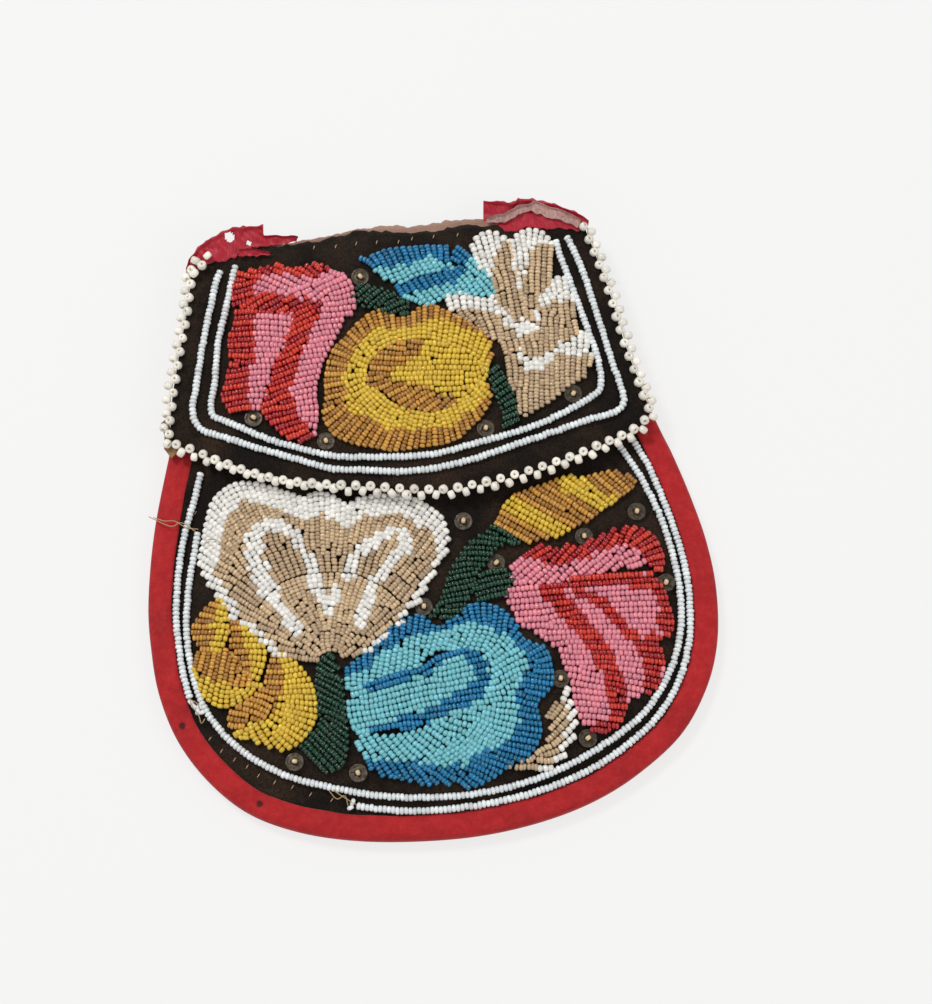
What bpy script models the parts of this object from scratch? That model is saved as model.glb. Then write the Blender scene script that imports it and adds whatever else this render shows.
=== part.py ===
# A flat beaded velvet purse, lying on its back with its flap closed.
# X runs to the right across the purse, Y runs from its round bottom to the seam at the top, and Z is up.
# The origin is on the flat underside of the back panel. Sizes are in metres.
# The outlines and the beadwork are drawn in millimetres on a pattern that place() fits to the purse.

import math

import bmesh
import bpy
from mathutils import Vector

# Overall size, across the binding and from its lowest point to the top seam.
PURSE_WIDTH = 0.1683
PURSE_LENGTH = 0.1855
PATTERN_WIDTH = 168.3
PATTERN_LENGTH = 185.5

# Cloth, card and tape.
VELVET = 0.0007
BOARD = 0.0004
LINING = 0.0003
TAPE = 0.0005
RIBBON = 0.0003
GAP = 0.0003
BINDING_WIDTH = 0.0072

# The pocket: how far its front bulges, and the width of the slope that carries the bulge.
POCKET_RISE = 0.0034
SLOPE_WIDTH = 0.014
MOUTH = 80.0

# Beadwork. CELL is the length of one facet along a row of beads, and PAD_ARCH is how far the middle of a
# row stands above its ends.
BEAD = 0.0019
CELL = 0.0045
EDGE_BEAD = 0.0029
PICOT_PITCH = 0.0041
PICOT_REACH = 0.0021
ROWS_PER_RIDGE = 2
PAD_ARCH = 0.0005
SEQUIN = 0.0052
SEQUIN_SHEET = 0.00035
STRING_SPACING = 0.0008

# The seam between the flap and the back panel, which is the hinge line: the flap rolls down to it and
# the back climbs to it, from where these lines cross the pattern.
SEAM = 96.0
SEAM_CLEARANCE = 0.0002
SEAM_RISE = 0.0069
ROLL_START = 86.0
CLIMB_START = 84.0

# Where the panels leave the level of the rim: past a level strip inside the binding. The back sinks faster.
LEVEL_STRIP = 0.0015
SLOPE_START = BINDING_WIDTH + LEVEL_STRIP
SLOPE_STEPS = [0.0, 0.25, 0.5, 0.75, 1.0]
SINK_WIDTH = 0.004

# Levels of the pile at the bound rim, from the table up.
BACK_VELVET_Z = TAPE + GAP
BACK_BOARD_Z = BACK_VELVET_Z + VELVET + GAP
BACK_LINING_Z = BACK_BOARD_Z + BOARD + GAP
FRONT_LINING_Z = BACK_LINING_Z + LINING + GAP
FRONT_BOARD_Z = FRONT_LINING_Z + LINING + GAP
FRONT_VELVET_Z = FRONT_BOARD_Z + BOARD + GAP
FRONT_TOP_Z = FRONT_VELVET_Z + VELVET
RIM_TOP_Z = FRONT_TOP_Z + GAP + TAPE
FLAP_LINING_Z = FRONT_TOP_Z + GAP + BEAD + 1.3 * GAP
FLAP_BOARD_Z = FLAP_LINING_Z + LINING + GAP
FLAP_VELVET_Z = FLAP_BOARD_Z + BOARD + GAP
FLAP_TOP_Z = FLAP_VELVET_Z + VELVET
PANEL_INSET = TAPE + GAP
BACK_SINK = TAPE + GAP
HINGE_Y = SEAM * PURSE_LENGTH / PATTERN_LENGTH + 0.0003
HINGE_Z = BACK_VELVET_Z + VELVET - BACK_SINK + SEAM_RISE + SEAM_CLEARANCE

# Edge of the body, from the left end of the seam round the bottom to the right end.
BODY_EDGE = [
    (-54, 96), (-57.5, 86), (-65.5, 60), (-73.5, 34.5), (-80, 11.5), (-83.6, -9.5), (-84, -24.5),
    (-82.8, -38), (-78.6, -52), (-71, -64.5), (-60.5, -75), (-47, -82), (-31, -86.5), (-13, -88.9),
    (6, -89.5), (24, -87.6), (40, -83.5), (54, -77), (68, -67), (77.2, -54.5), (82.4, -41), (84.3, -25.5),
    (83.5, -11), (80.7, 3.5), (77, 17.5), (73.6, 28), (65.5, 56), (57.5, 84), (54, 96),
]
FLAP_LEFT = [(-72.2, 37.5), (-71, 48), (-68, 61), (-64.5, 74), (-62.2, 84), (-61.2, 90)]
FLAP_RIGHT = [(71.3, 29.5), (70.2, 36), (66.8, 52), (64.4, 68), (61.2, 83), (59.3, 90)]
FLAP_BOTTOM = [
    (-72.2, 37.5), (-64.8, 33), (-57.8, 28.2), (-50.8, 24.4), (-43, 21.2), (-35, 18.9), (-25, 17),
    (-15, 15.4), (-5, 13.5), (7, 11.8), (18, 12.4), (30, 14), (40, 16), (50, 18.5), (60, 22),
    (67.5, 25.4), (71.3, 29.5),
]
FLAP_TOP = [(-61.2, 90), (-56, 92.7), (-49, 93.4), (0, 93.4), (47, 93.4), (54, 92.4), (59.3, 90)]

# Pale strings of beads that run beside the edges of the flap and of the front.
FLAP_OUTER_STRING = [
    (-52.5, 88.3), (-54.5, 84), (-55.5, 80), (-57.5, 74), (-60, 65), (-61.5, 59), (-63.3, 52),
    (-64.6, 47), (-64.3, 42.5), (-62, 39.3), (-56, 36), (-50, 32.8), (-43, 29.6), (-35, 26.3),
    (-25, 22.2), (-15, 20.6), (-5, 19), (5, 18.8), (15, 20), (25, 22), (35, 24.3), (45, 26.5),
    (55, 29), (61, 30.6), (64, 33.5), (63.5, 39), (62, 47), (60.5, 56), (59, 65), (57.4, 74),
    (55.6, 81.5), (53.7, 87),
]
FLAP_INNER_STRING = [
    (-47.8, 89.3), (-49.2, 85), (-51, 79), (-53, 73), (-55, 66.5), (-56.2, 60), (-57.5, 53),
    (-59, 47.5), (-58.7, 43.5), (-55, 40.8), (-49, 37), (-42, 33), (-33, 29.2), (-24, 26),
    (-14, 24.5), (-4, 23.4), (6, 23.2), (16, 24.6), (27, 26.4), (38, 28.8), (47, 32), (52.5, 34.6),
    (57, 37.8), (58.2, 43), (57.6, 50), (56, 58), (54.2, 66.5), (52.3, 75), (51, 80.5), (50.2, 86.3),
]
FRONT_OUTER_STRING_LEFT = [
    (-64.5, 27), (-67, 19.5), (-69.5, 13), (-71.8, 6), (-73.5, -1), (-74.7, -8), (-75.6, -16),
    (-76, -25), (-75.6, -33), (-74, -39.5),
]
FRONT_OUTER_STRING = [
    (-28, -77.3), (-21, -79), (-12, -80.6), (-2, -81.3), (8, -81.4), (18, -80.6), (27, -79),
    (36, -76.5), (45, -73.2), (53, -69), (60, -64), (66.5, -57.5), (72, -50), (75.5, -42),
    (77.3, -33), (77.6, -23), (76.6, -13), (74.6, -3), (71.8, 7), (68.8, 15), (65.5, 22.5),
]
FRONT_INNER_STRING = [
    (-66.9, 8.6), (-68.7, 2), (-70.6, -5), (-72.2, -13), (-72.9, -21), (-72.8, -29), (-72, -37),
    (-69.7, -43.5), (-65.5, -51), (-60, -57.3), (-53, -63), (-45, -67.5), (-36, -70.8), (-28, -73.4),
    (-19, -75.6), (-9, -77), (2, -77.7), (13, -77.2), (23, -75.6), (32, -73.2), (41, -69.6),
    (49, -65.6), (57, -60.5), (63, -54.2), (67.9, -46.8), (71.2, -38.8), (72.9, -30), (73.1, -20),
    (72, -9.5), (69.7, 1), (66, 11.5), (61.5, 20.5),
]

# Discs sewn down through one small bead each.
FLAP_SEQUINS = [(-10.3, 81), (-46.6, 40.6), (-25.9, 31), (21.8, 29.4), (49, 37)]
FRONT_SEQUINS = [
    (12, 3), (20.2, -10.8), (47, -5.8), (63.5, 0), (69.3, -22.3), (-2.6, -21.4), (34.7, -47.4),
    (40.4, -65.6), (-45, -62.6), (-27, -68),
]

# Torn ends of the ribbon that once bound the top of the flap: lower edge, then upper edge.
LEFT_RIBBON = [
    [(-61.6, 88.6), (-57.5, 89.6), (-53, 90.2), (-48.5, 90.6), (-44, 92), (-37, 93.2), (-28.3, 93.6)],
    [(-60.8, 92.4), (-57, 95.5), (-52, 98.2), (-47, 100.2), (-41.5, 99), (-36, 96.4), (-28, 95.1)],
]
RIGHT_RIBBON = [
    [(28.6, 94.4), (34, 93.9), (39.5, 92.4), (45, 90.4), (50, 89.8), (55, 89.2), (59.2, 88.6)],
    [(29.3, 99.6), (34.5, 99.1), (40, 98.6), (45.5, 98.4), (51, 96.6), (56, 93.8), (60.2, 90.6)],
]

COLOURS = {
    "velvet": ((0.020, 0.014, 0.011), 0.95),
    "card": ((0.33, 0.22, 0.13), 0.90),
    "lining": ((0.36, 0.24, 0.20), 0.92),
    "tape": ((0.52, 0.018, 0.024), 0.75),
    "ribbon": ((0.38, 0.035, 0.055), 0.55),
    "pale": ((0.66, 0.74, 0.77), 0.30),
    "cream": ((0.80, 0.76, 0.68), 0.28),
    "white": ((0.82, 0.80, 0.74), 0.28),
    "clear": ((0.36, 0.24, 0.14), 0.22),
    "red": ((0.45, 0.022, 0.022), 0.20),
    "pink": ((0.62, 0.17, 0.26), 0.28),
    "yellow": ((0.58, 0.37, 0.07), 0.28),
    "amber": ((0.32, 0.15, 0.03), 0.20),
    "navy": ((0.013, 0.10, 0.28), 0.22),
    "sky": ((0.16, 0.50, 0.62), 0.28),
    "green": ((0.006, 0.055, 0.035), 0.22),
    "sequin": ((0.08, 0.07, 0.06), 0.35),
}

# Each motif is drawn by rails. Its rows of beads run from the first rail to the last and cross the others
# at the same count of rows, and a colour fills the space between two rails. A band recolours what lies
# within a distance of its line.
MOTIFS = [
    {
        "name": "flap_red_flower_top",
        "on": "flap",
        "rails": [
            [(-49, 77), (-49.2, 80.5), (-47, 84.2), (-42, 86), (-36, 85.6), (-29, 84.6),
             (-23, 84), (-17.5, 82.4)],
            [(-44, 77), (-43.2, 79.5), (-41.6, 82), (-38, 83.6), (-33, 82.4), (-28, 81.4),
             (-22.5, 81.6), (-17, 81.9)],
            [(-40, 76.4), (-38, 76.7), (-36, 76.8), (-33, 76.7), (-29.5, 76.4), (-25.5, 76),
             (-19.5, 77), (-13.6, 78)],
        ],
        "colours": ["red", "pink"],
    },
    {
        "name": "flap_red_flower_left",
        "on": "flap",
        "rails": [
            [(-48.6, 75), (-52, 69.5), (-52.7, 64), (-50.8, 58.5), (-53, 55.5), (-55, 50.5),
             (-55.8, 47), (-53.5, 43.6)],
            [(-42.5, 73.5), (-44, 68.5), (-44, 64), (-45, 59.5), (-46.5, 56), (-47.8, 51),
             (-48.2, 47), (-46.5, 44)],
            [(-33.5, 72.6), (-33, 68), (-35, 63.4), (-38, 58.6), (-39.6, 54.6), (-41, 50),
             (-42.6, 46.6), (-44.6, 44.3)],
        ],
        "colours": ["red", "pink"],
    },
    {
        "name": "flap_red_flower_right",
        "on": "flap",
        "rails": [
            [(-32, 74.8), (-31.9, 68), (-34.4, 62.6), (-37.6, 58), (-39, 53), (-41, 48),
             (-44, 42.8), (-40.6, 38), (-35.4, 33)],
            [(-25.5, 75), (-23, 70.5), (-26.8, 64.6), (-30, 59), (-31.6, 54), (-33.6, 49),
             (-35.6, 44), (-33.4, 38.5), (-31, 33.5)],
            [(-16, 75.8), (-13.6, 70), (-18, 64.4), (-22, 60.6), (-24.6, 56), (-26.6, 50.5),
             (-27.4, 44.5), (-27.5, 38), (-29.6, 32.6)],
        ],
        "colours": ["red", "pink"],
    },
    {
        "name": "flap_blue_leaf_top",
        "on": "flap",
        "rails": [
            [(-9.8, 85.2), (-5.5, 85.8), (-1, 86.9), (4, 86.8), (9, 86.3), (13.5, 86.4)],
            [(-6, 82), (-2.5, 82.3), (1.5, 82.5), (6, 82.8), (9.6, 83.4), (13, 84)],
            [(-1.6, 77.8), (1.6, 77.4), (5, 78.6), (9, 79.2), (13, 79.6), (16.4, 80.4)],
        ],
        "colours": ["navy", "sky"],
    },
    {
        "name": "flap_blue_leaf_right",
        "on": "flap",
        "rails": [
            [(0.9, 76), (5, 77.6), (9, 78.3), (13, 78.8), (17, 80.2), (17.3, 84), (16.4, 86.2)],
            [(4.4, 72.6), (8, 74.6), (12, 75.2), (16.4, 75.8), (20.4, 78.6), (20, 82.5),
             (18.4, 85.6)],
            [(7.6, 69.6), (11.8, 71.2), (17, 73), (22.4, 72.9), (28, 71), (25.4, 77.6),
             (20.6, 83.8)],
        ],
        "colours": ["navy", "sky"],
    },
    {
        "name": "flap_green_leaf",
        "on": "flap",
        "rails": [
            [(-14, 74.2), (-11, 71.8), (-6.5, 70.6), (-4, 69), (-1.4, 68.2)],
            [(-9.4, 77.6), (-3.4, 75.4), (1, 73), (3, 70.6), (2.4, 68.2)],
        ],
        "colours": ["green"],
    },
    {
        "name": "flap_gold_flower_ring",
        "on": "flap",
        "rails": [
            [(24.4, 48.2), (26, 52.6), (25, 56.8), (21, 60), (16, 63.8), (11.4, 67.4),
             (7, 68.4), (2.2, 65.8),
             (-5.6, 67.4), (-14.5, 63), (-21.5, 56.4), (-24.2, 49), (-25.6, 38), (-22, 31.2),
              (-12, 27), (0, 25),
             (10, 25.4), (18, 29.6), (22.8, 35.4), (23.8, 41.4)],
            [(22.6, 48.4), (22.4, 51.6), (21.8, 55), (19.4, 57.4), (16.4, 60), (12.6, 62.4),
             (8, 64.2), (2, 63),
             (-4, 64), (-11, 60), (-15.6, 55.4), (-18, 50), (-18, 42), (-15.4, 37.4),
              (-9, 32.4), (0, 29.6),
             (8, 29.4), (14.4, 33), (18.4, 37.4), (21, 40.8)],
            [(20.8, 48.8), (20, 51), (18.8, 53.6), (16.4, 56), (13, 58.2), (9.6, 59.2),
             (5.6, 59.6), (1, 59.4),
             (-3.6, 58), (-8, 55.6), (-11.4, 52), (-13, 48.2), (-10, 42.6), (-7, 40.2),
              (-3, 37.8), (2, 35.6),
             (7, 35.2), (12, 37), (15.4, 39.2), (18.4, 41.4)],
        ],
        "colours": ["amber", "yellow"],
    },
    {
        "name": "flap_gold_flower_heart",
        "on": "flap",
        "rails": [
            [(-2.6, 57.2), (-7.6, 54.8), (-10.6, 51.6), (-12, 48), (-9, 43.2), (-6, 41),
             (-2.4, 38.8), (2.4, 36.6)],
            [(7, 57.8), (5, 54.4), (-3, 50.8), (-6.6, 48.6), (-5, 46.6), (4, 44), (11, 41),
             (10, 38)],
            [(14, 56.8), (17, 54.2), (19, 51.4), (20.2, 48.2), (20.6, 45.6), (19.4, 43.2),
             (16, 40.6), (11.6, 37.6)],
        ],
        "colours": ["amber", "yellow"],
    },
    {
        "name": "flap_white_leaf_left",
        "on": "flap",
        "rails": [
            [(16.4, 65.4), (20.6, 62), (24.4, 59.6), (27.6, 57.6), (30, 55.6)],
            [(15.6, 66), (20, 65.6), (24, 64.6), (27.6, 62.6), (30.4, 60.4)],
            [(15, 70.8), (20, 71.8), (24.6, 70.8), (28.2, 69.2), (31.4, 66.6)],
        ],
        "colours": ["clear", "white"],
    },
    {
        "name": "flap_white_leaf_lobe_left",
        "on": "flap",
        "rails": [
            [(29.7, 72.6), (30.6, 69), (32.2, 66.8), (33.4, 65), (34.8, 66.6)],
            [(29.4, 75), (30, 79), (31, 84), (33, 86.6), (34.8, 85.4)],
            [(25.2, 84.6), (26.6, 88), (29.6, 90), (33, 89), (35, 86.6)],
        ],
        "colours": ["clear", "white"],
    },
    {
        "name": "flap_white_leaf_lobe_right",
        "on": "flap",
        "rails": [
            [(35.2, 66), (37, 61.6), (39, 61.2), (41, 64), (43, 67.6), (46.2, 74), (47.6, 80)],
            [(35.9, 68), (37, 72), (39.8, 78), (42, 83), (45, 86), (47.6, 86.4), (48.4, 84)],
            [(35.6, 81), (37.4, 86.4), (40, 89.4), (43.4, 89.8), (46.4, 89), (48.4, 87),
             (49, 84.6)],
        ],
        "colours": ["clear", "white"],
    },
    {
        "name": "flap_white_leaf_middle",
        "on": "flap",
        "rails": [
            [(30, 51), (33.2, 55), (36, 51.6), (38.6, 49.4), (41, 51.4), (44, 53.6), (47, 56.6),
             (49.6, 58), (52.3, 61)],
            [(30.6, 59.4), (33.6, 57), (36.6, 55.2), (39.6, 56.2), (42, 59), (44, 64.6),
             (46.6, 65.6), (49.6, 65.6), (52.3, 65.8)],
            [(31.8, 66), (34.2, 63.4), (36.6, 60.8), (39.2, 60.4), (41.6, 63.2), (43.4, 67),
             (46, 71), (49.6, 72.8), (52.3, 69.4)],
        ],
        "colours": ["clear", "white"],
    },
    {
        "name": "flap_white_leaf_foot",
        "on": "flap",
        "rails": [
            [(30.6, 44.4), (32.2, 38), (34.6, 32.6), (38, 33.2), (42, 35.6), (46, 39.2),
             (50.6, 41.8), (54, 44.6), (55.7, 47.6)],
            [(31.6, 48.6), (34.4, 46.6), (36.8, 44.6), (39.8, 44.4), (42.8, 46), (46, 47.6),
             (49.6, 48), (53, 48), (55.7, 48.4)],
            [(33.2, 54.2), (35.4, 51), (38, 48.6), (41, 50.4), (44, 52.4), (47, 55), (50, 56.2),
             (53, 55.4), (55.7, 53.6)],
        ],
        "colours": ["clear", "white"],
    },
    {
        "name": "flap_green_stem",
        "on": "flap",
        "rails": [
            [(24.6, 46), (25.2, 42), (26.8, 37), (27.6, 33.4), (27, 28.8)],
            [(27.4, 48), (29, 44), (30.6, 40), (32, 34.6), (31.6, 31)],
        ],
        "colours": ["green"],
    },
    {
        "name": "front_white_leaf",
        "on": "front",
        "rails": [
            [(-33.4, -31.2), (-33.2, -30), (-32.6, -29), (-31.6, -28.4), (-30.6, -28),
             (-29.4, -27.6), (-28.2, -27.4),
             (-27, -27.4), (-25.8, -27.8), (-24.8, -28.4), (-24, -29.4), (-23.6, -30.6),
              (-23.4, -31.8)],
            [(-42.5, -29), (-52, -19.6), (-59, -9), (-61, 2), (-57.6, 11), (-50, 16.6),
             (-38, 12), (-27, 9.6),
             (-14, 8.4), (-2, 4), (0.6, -5), (-7, -16), (-18.6, -28.4)],
            [(-43, -31), (-55, -21), (-63.6, -8), (-66.4, 2), (-63, 15.4), (-54, 21.8),
             (-38.4, 17), (-27, 15.4),
             (-12, 12.8), (3, 8), (6.2, -4), (-3.6, -18), (-20, -32)],
        ],
        "colours": ["clear", "white"],
        "bands": [
            ("white", 2.6, [(-40, -24.5), (-44, -17), (-49, -8), (-51, 0), (-49, 5), (-43, 7.5),
             (-37.6, 4), (-35, -4), (-33.6, -12)]),
            ("white", 2.2, [(-23.6, -10), (-21, -5), (-14, 0), (-8, 0), (-7, -3.6), (-13, -10),
             (-19, -17), (-21.4, -23)]),
        ],
    },
    {
        "name": "front_gold_bud",
        "on": "front",
        "rails": [
            [(20.6, 0.8), (24, 5.8), (29, 8.8), (36, 11), (43, 11.9), (50, 12), (57, 12.6)],
            [(31, -6.4), (37, -5), (42, -4.3), (48.6, -1), (54, 2), (59.6, 5.4), (63.4, 8.8)],
        ],
        "colours": ["amber"],
        "bands": [
            ("yellow", 3.4, [(27, 7.2), (39.6, -4)]),
            ("yellow", 3.4, [(43.4, 11), (55, 3)]),
        ],
    },
    {
        "name": "front_green_stem",
        "on": "front",
        "rails": [
            [(19.6, -0.8), (14, -3.2), (10, -6.6), (6.6, -11), (5.4, -13.4), (4.2, -16),
             (3.2, -18), (2, -20.4), (-0.4, -24.4)],
            [(27.4, -6), (22, -7), (16.6, -9.6), (14, -13), (20.4, -14.6), (23, -17),
             (21, -20.2), (10.4, -21.2), (6, -25)],
        ],
        "colours": ["green"],
    },
    {
        "name": "front_red_flower_top",
        "on": "front",
        "rails": [
            [(25.2, -18.6), (29, -18.4), (34, -18.2), (40, -18.6), (46, -18.8), (52, -18.4),
             (57, -18.3), (61, -18.8), (65.4, -19.8)],
            [(24.8, -16), (29.6, -13), (34, -14.2), (39.4, -14.6), (44, -11.8), (50, -10.8),
             (56.6, -10.6), (62, -12.4), (64.4, -17.4)],
            [(24.3, -15), (29.6, -10.4), (36, -8.2), (41, -10), (46.4, -9.5), (51, -7.2),
             (57, -5.8), (64, -7), (69.4, -16.6)],
        ],
        "colours": ["pink", "red"],
    },
    {
        "name": "front_red_flower_body",
        "on": "front",
        "rails": [
            [(24.2, -20.2), (22, -22.6), (24.2, -27), (25.2, -30), (29, -33.4), (32.4, -35.8),
             (36, -39.8),
             (36.4, -43), (38, -47), (38.2, -52), (38.6, -57), (41, -61), (46, -64)],
            [(31, -20.8), (32, -23.2), (34.6, -27.6), (36.6, -31), (39, -34), (40.6, -36.8),
             (42.6, -40.6),
             (43.6, -43.6), (44.4, -47.4), (46, -53), (45.6, -57), (44.6, -60.6), (46.6, -64.2)],
            [(62, -21), (65.8, -24.4), (68.4, -28), (69.3, -32.4), (68.6, -36.6), (65, -39.4),
             (65.4, -43),
             (65, -48), (58, -53.4), (53.8, -55), (52.4, -58.6), (50, -62), (47.4, -64.4)],
        ],
        "colours": ["pink", "red"],
        "bands": [
            ("pink", 2.6, [(39.4, -22.6), (45.4, -27), (49, -31.6), (53, -37)]),
            ("pink", 2.8, [(44.6, -21.8), (51, -23), (56.6, -26), (59.4, -30), (62.4, -36)]),
            ("pink", 3.0, [(53, -38), (56, -44), (56, -51)]),
        ],
    },
    {
        "name": "front_blue_flower_ring",
        "on": "front",
        "rails": [
            [(-23.6, -44.4), (-17, -41.6), (-10, -40), (-3, -38.2), (2, -36), (8, -35.4),
             (13, -37.8), (15.4, -41.4), (15, -45.6),
             (12, -50), (6, -54), (-1, -56), (-8, -57.8), (-15, -59.2), (-20, -59.4), (-24.4, -58)],
            [(-26, -39.6), (-19, -37.2), (-12, -31.6), (-4, -32), (2, -31), (9, -28.8),
             (17, -33), (23.4, -39.4), (24, -45.4),
             (20.8, -52), (19.4, -61), (11, -66.4), (1.6, -68.4), (-7.6, -66.4), (-15.6, -66),
              (-23.4, -64)],
            [(-27.6, -37.6), (-17.4, -33), (-9.6, -27.2), (-3, -24.9), (2.6, -27.9),
             (11, -23.2), (21.4, -27.6), (30.8, -40.4), (31.8, -46),
             (25.6, -54.6), (26.4, -64), (14, -73), (3, -74.8), (-5, -73), (-13, -70.6),
              (-22, -68.2)],
        ],
        "colours": ["sky", "navy"],
    },
    {
        "name": "front_blue_flower_heart",
        "on": "front",
        "rails": [
            [(-21.6, -44.4), (-24.4, -46), (-27.6, -50), (-27.4, -54), (-24, -57.4)],
            [(-8, -41), (-7.6, -44), (-6, -48), (-7, -52), (-10, -56.6)],
            [(3.6, -37), (12, -39), (14.2, -44), (10, -50), (-2, -55)],
        ],
        "colours": ["sky", "sky"],
        "bands": [
            ("navy", 2.3, [(-17, -43.4), (-9, -41.6), (-2, -39), (5, -38), (10.4, -40),
             (12, -45), (7, -49.4), (-1, -53), (-10, -55), (-18, -57)]),
        ],
    },
    {
        "name": "front_feather_leaf",
        "on": "front",
        "rails": [
            [(29.2, -57), (29.4, -61), (28.8, -64.3), (26.8, -67.4), (23.6, -69.4), (20, -71),
             (17.4, -72.6)],
            [(33.2, -53.6), (34.4, -57), (34.2, -60.6), (33.2, -64.2), (31.4, -67.4),
             (28.2, -70.8), (24.6, -73.4)],
            [(36.4, -50.4), (37.2, -54), (38, -58), (37.8, -61.6), (36.6, -65.4), (33, -69.4),
             (28.3, -72.4)],
        ],
        "colours": ["clear", "white"],
    },
    {
        "name": "front_gold_petal_left",
        "on": "front",
        "rails": [
            [(-66, -12.6), (-69.6, -15.6), (-70.9, -20), (-69.4, -24.4)],
            [(-63.8, -15), (-65.2, -18.4), (-66.8, -21.8), (-67.4, -25.2)],
            [(-61.9, -14.6), (-61.6, -18.6), (-62.4, -22.8), (-64.8, -26.2)],
        ],
        "colours": ["amber", "yellow"],
    },
    {
        "name": "front_gold_petal_top",
        "on": "front",
        "rails": [
            [(-57.4, -21.9), (-59.4, -23), (-60.4, -25.6), (-60.2, -28)],
            [(-53.8, -26.6), (-55.6, -28.6), (-57, -30.6), (-57.2, -32.8)],
            [(-51.3, -30), (-51.4, -33), (-52.4, -35.6), (-53.6, -37.6)],
        ],
        "colours": ["amber", "yellow"],
    },
    {
        "name": "front_gold_petal_low",
        "on": "front",
        "rails": [
            [(-70.4, -33.4), (-69.8, -29.2), (-66, -27.6), (-61.4, -30.4), (-58.6, -33.8),
             (-56, -37.2)],
            [(-68.6, -38), (-66, -36), (-63, -34.8), (-60, -36.4), (-57.8, -38.8), (-55.6, -41)],
            [(-66.4, -41.8), (-63.6, -43.9), (-60.8, -43.4), (-58, -43.2), (-55.2, -42.8),
             (-53.4, -41.8)],
        ],
        "colours": ["amber", "yellow"],
    },
    {
        "name": "front_gold_petal_right",
        "on": "front",
        "rails": [
            [(-62.6, -49), (-61, -45.8), (-56, -45), (-51.8, -42), (-50.6, -37), (-49.4, -33),
             (-45.6, -33.2)],
            [(-59, -54), (-55, -52.4), (-49.6, -50), (-46, -47), (-44.6, -42), (-44, -37.4),
             (-43, -34.8)],
            [(-56, -56.8), (-50.6, -57.8), (-46, -59), (-41.6, -55.8), (-38.4, -51.4),
             (-38, -44.6), (-39.6, -37.4)],
        ],
        "colours": ["amber", "yellow"],
    },
    {
        "name": "front_green_side_stem",
        "on": "front",
        "rails": [
            [(-34.2, -33.2), (-35.8, -36), (-36.6, -41), (-36.4, -47), (-36.2, -52),
             (-38.2, -55), (-42.6, -57.6)],
            [(-30.8, -33.8), (-29.8, -37), (-29.3, -43), (-29.4, -49), (-29.2, -56), (-30, -63),
             (-33.4, -67)],
        ],
        "colours": ["green"],
    },
]


def place(point):
    """A point of the pattern, in metres on the purse."""
    return Vector((point[0] * PURSE_WIDTH / PATTERN_WIDTH, point[1] * PURSE_LENGTH / PATTERN_LENGTH))


def on_spline(points, at):
    """The point at a position along a smooth curve through the points, counted in points."""
    last = len(points) - 1
    start = min(int(at), last - 1)
    part = at - start
    before = points[start - 1] if start else 2 * points[0] - points[1]
    after = points[start + 2] if start + 2 <= last else 2 * points[last] - points[last - 1]
    one, two = points[start], points[start + 1]
    return 0.5 * (
        2 * one
        + (two - before) * part
        + (2 * before - 5 * one + 4 * two - after) * part**2
        + (3 * one - before - 3 * two + after) * part**3
    )


def even_positions(points, count):
    """Positions along the spline that part it into equal lengths."""
    fine = [step / 8 for step in range(8 * (len(points) - 1) + 1)]
    lengths = [0.0]
    for low, high in zip(fine, fine[1:]):
        lengths.append(lengths[-1] + (on_spline(points, high) - on_spline(points, low)).length)
    positions = []
    index = 0
    for step in range(count + 1):
        wanted = lengths[-1] * step / count
        while index < len(fine) - 2 and lengths[index + 1] < wanted:
            index += 1
        part = (wanted - lengths[index]) / max(lengths[index + 1] - lengths[index], 1e-9)
        positions.append(fine[index] + min(part, 1.0) * (fine[index + 1] - fine[index]))
    return positions


def resample(points, spacing):
    count = max(2, round(spline_length(points) / spacing))
    return [on_spline(points, at) for at in even_positions(points, count)]


def spline_length(points):
    fine = [on_spline(points, step / 8) for step in range(8 * (len(points) - 1) + 1)]
    return sum((high - low).length for low, high in zip(fine, fine[1:]))


def inward(points, index):
    """The direction to the left of a curve, which along the body's edge is into the body."""
    along = points[min(index + 1, len(points) - 1)] - points[max(index - 1, 0)]
    return Vector((-along.y, along.x)).normalized()


def distance_to(line, point):
    best = 1.0
    for start, end in zip(line, line[1:]):
        along = end - start
        part = max(0.0, min(1.0, (point - start).dot(along) / along.length_squared))
        best = min(best, (point - start - along * part).length)
    return best


EDGE_STEP = 0.0125
EDGE_LINE = resample([place(point) for point in BODY_EDGE], EDGE_STEP)
MOUTH_Y = place((0, MOUTH)).y

# How far inside the edge the strings on the front keep, and what lies inside them.
OUTER_STRING_INSET = BINDING_WIDTH + GAP + BEAD / 2
INNER_STRING_INSET = OUTER_STRING_INSET + BEAD + STRING_SPACING
BEADWORK_INSET = INNER_STRING_INSET + BEAD / 2 + GAP


def nearest_edge(point):
    return min(range(len(EDGE_LINE)), key=lambda index: (EDGE_LINE[index] - point).length_squared)


def inside_edge(point):
    """How far a point lies inside the body's edge, or 0 outside it."""
    nearest = nearest_edge(point)
    if (point - EDGE_LINE[nearest]).dot(inward(EDGE_LINE, nearest)) <= 0:
        return 0.0
    return distance_to(EDGE_LINE, point)


def kept_inside(point, least):
    """The point, moved in from the body's edge where it lies closer to it than that."""
    return point + inward(EDGE_LINE, nearest_edge(point)) * max(0.0, least - inside_edge(point))


def eased(part):
    """A slope of straight steps that starts and ends gently, so that what lies on it can follow it."""
    part = max(0.0, min(1.0, part))
    low = min(int(part * 4), 3)
    values = [step * step * (3 - 2 * step) for step in SLOPE_STEPS]
    return values[low] + (values[low + 1] - values[low]) * (part * 4 - low)


def bulge(point):
    """How far the front stands up over its rim."""
    return POCKET_RISE * eased((inside_edge(point) - SLOPE_START) / SLOPE_WIDTH)


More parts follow.
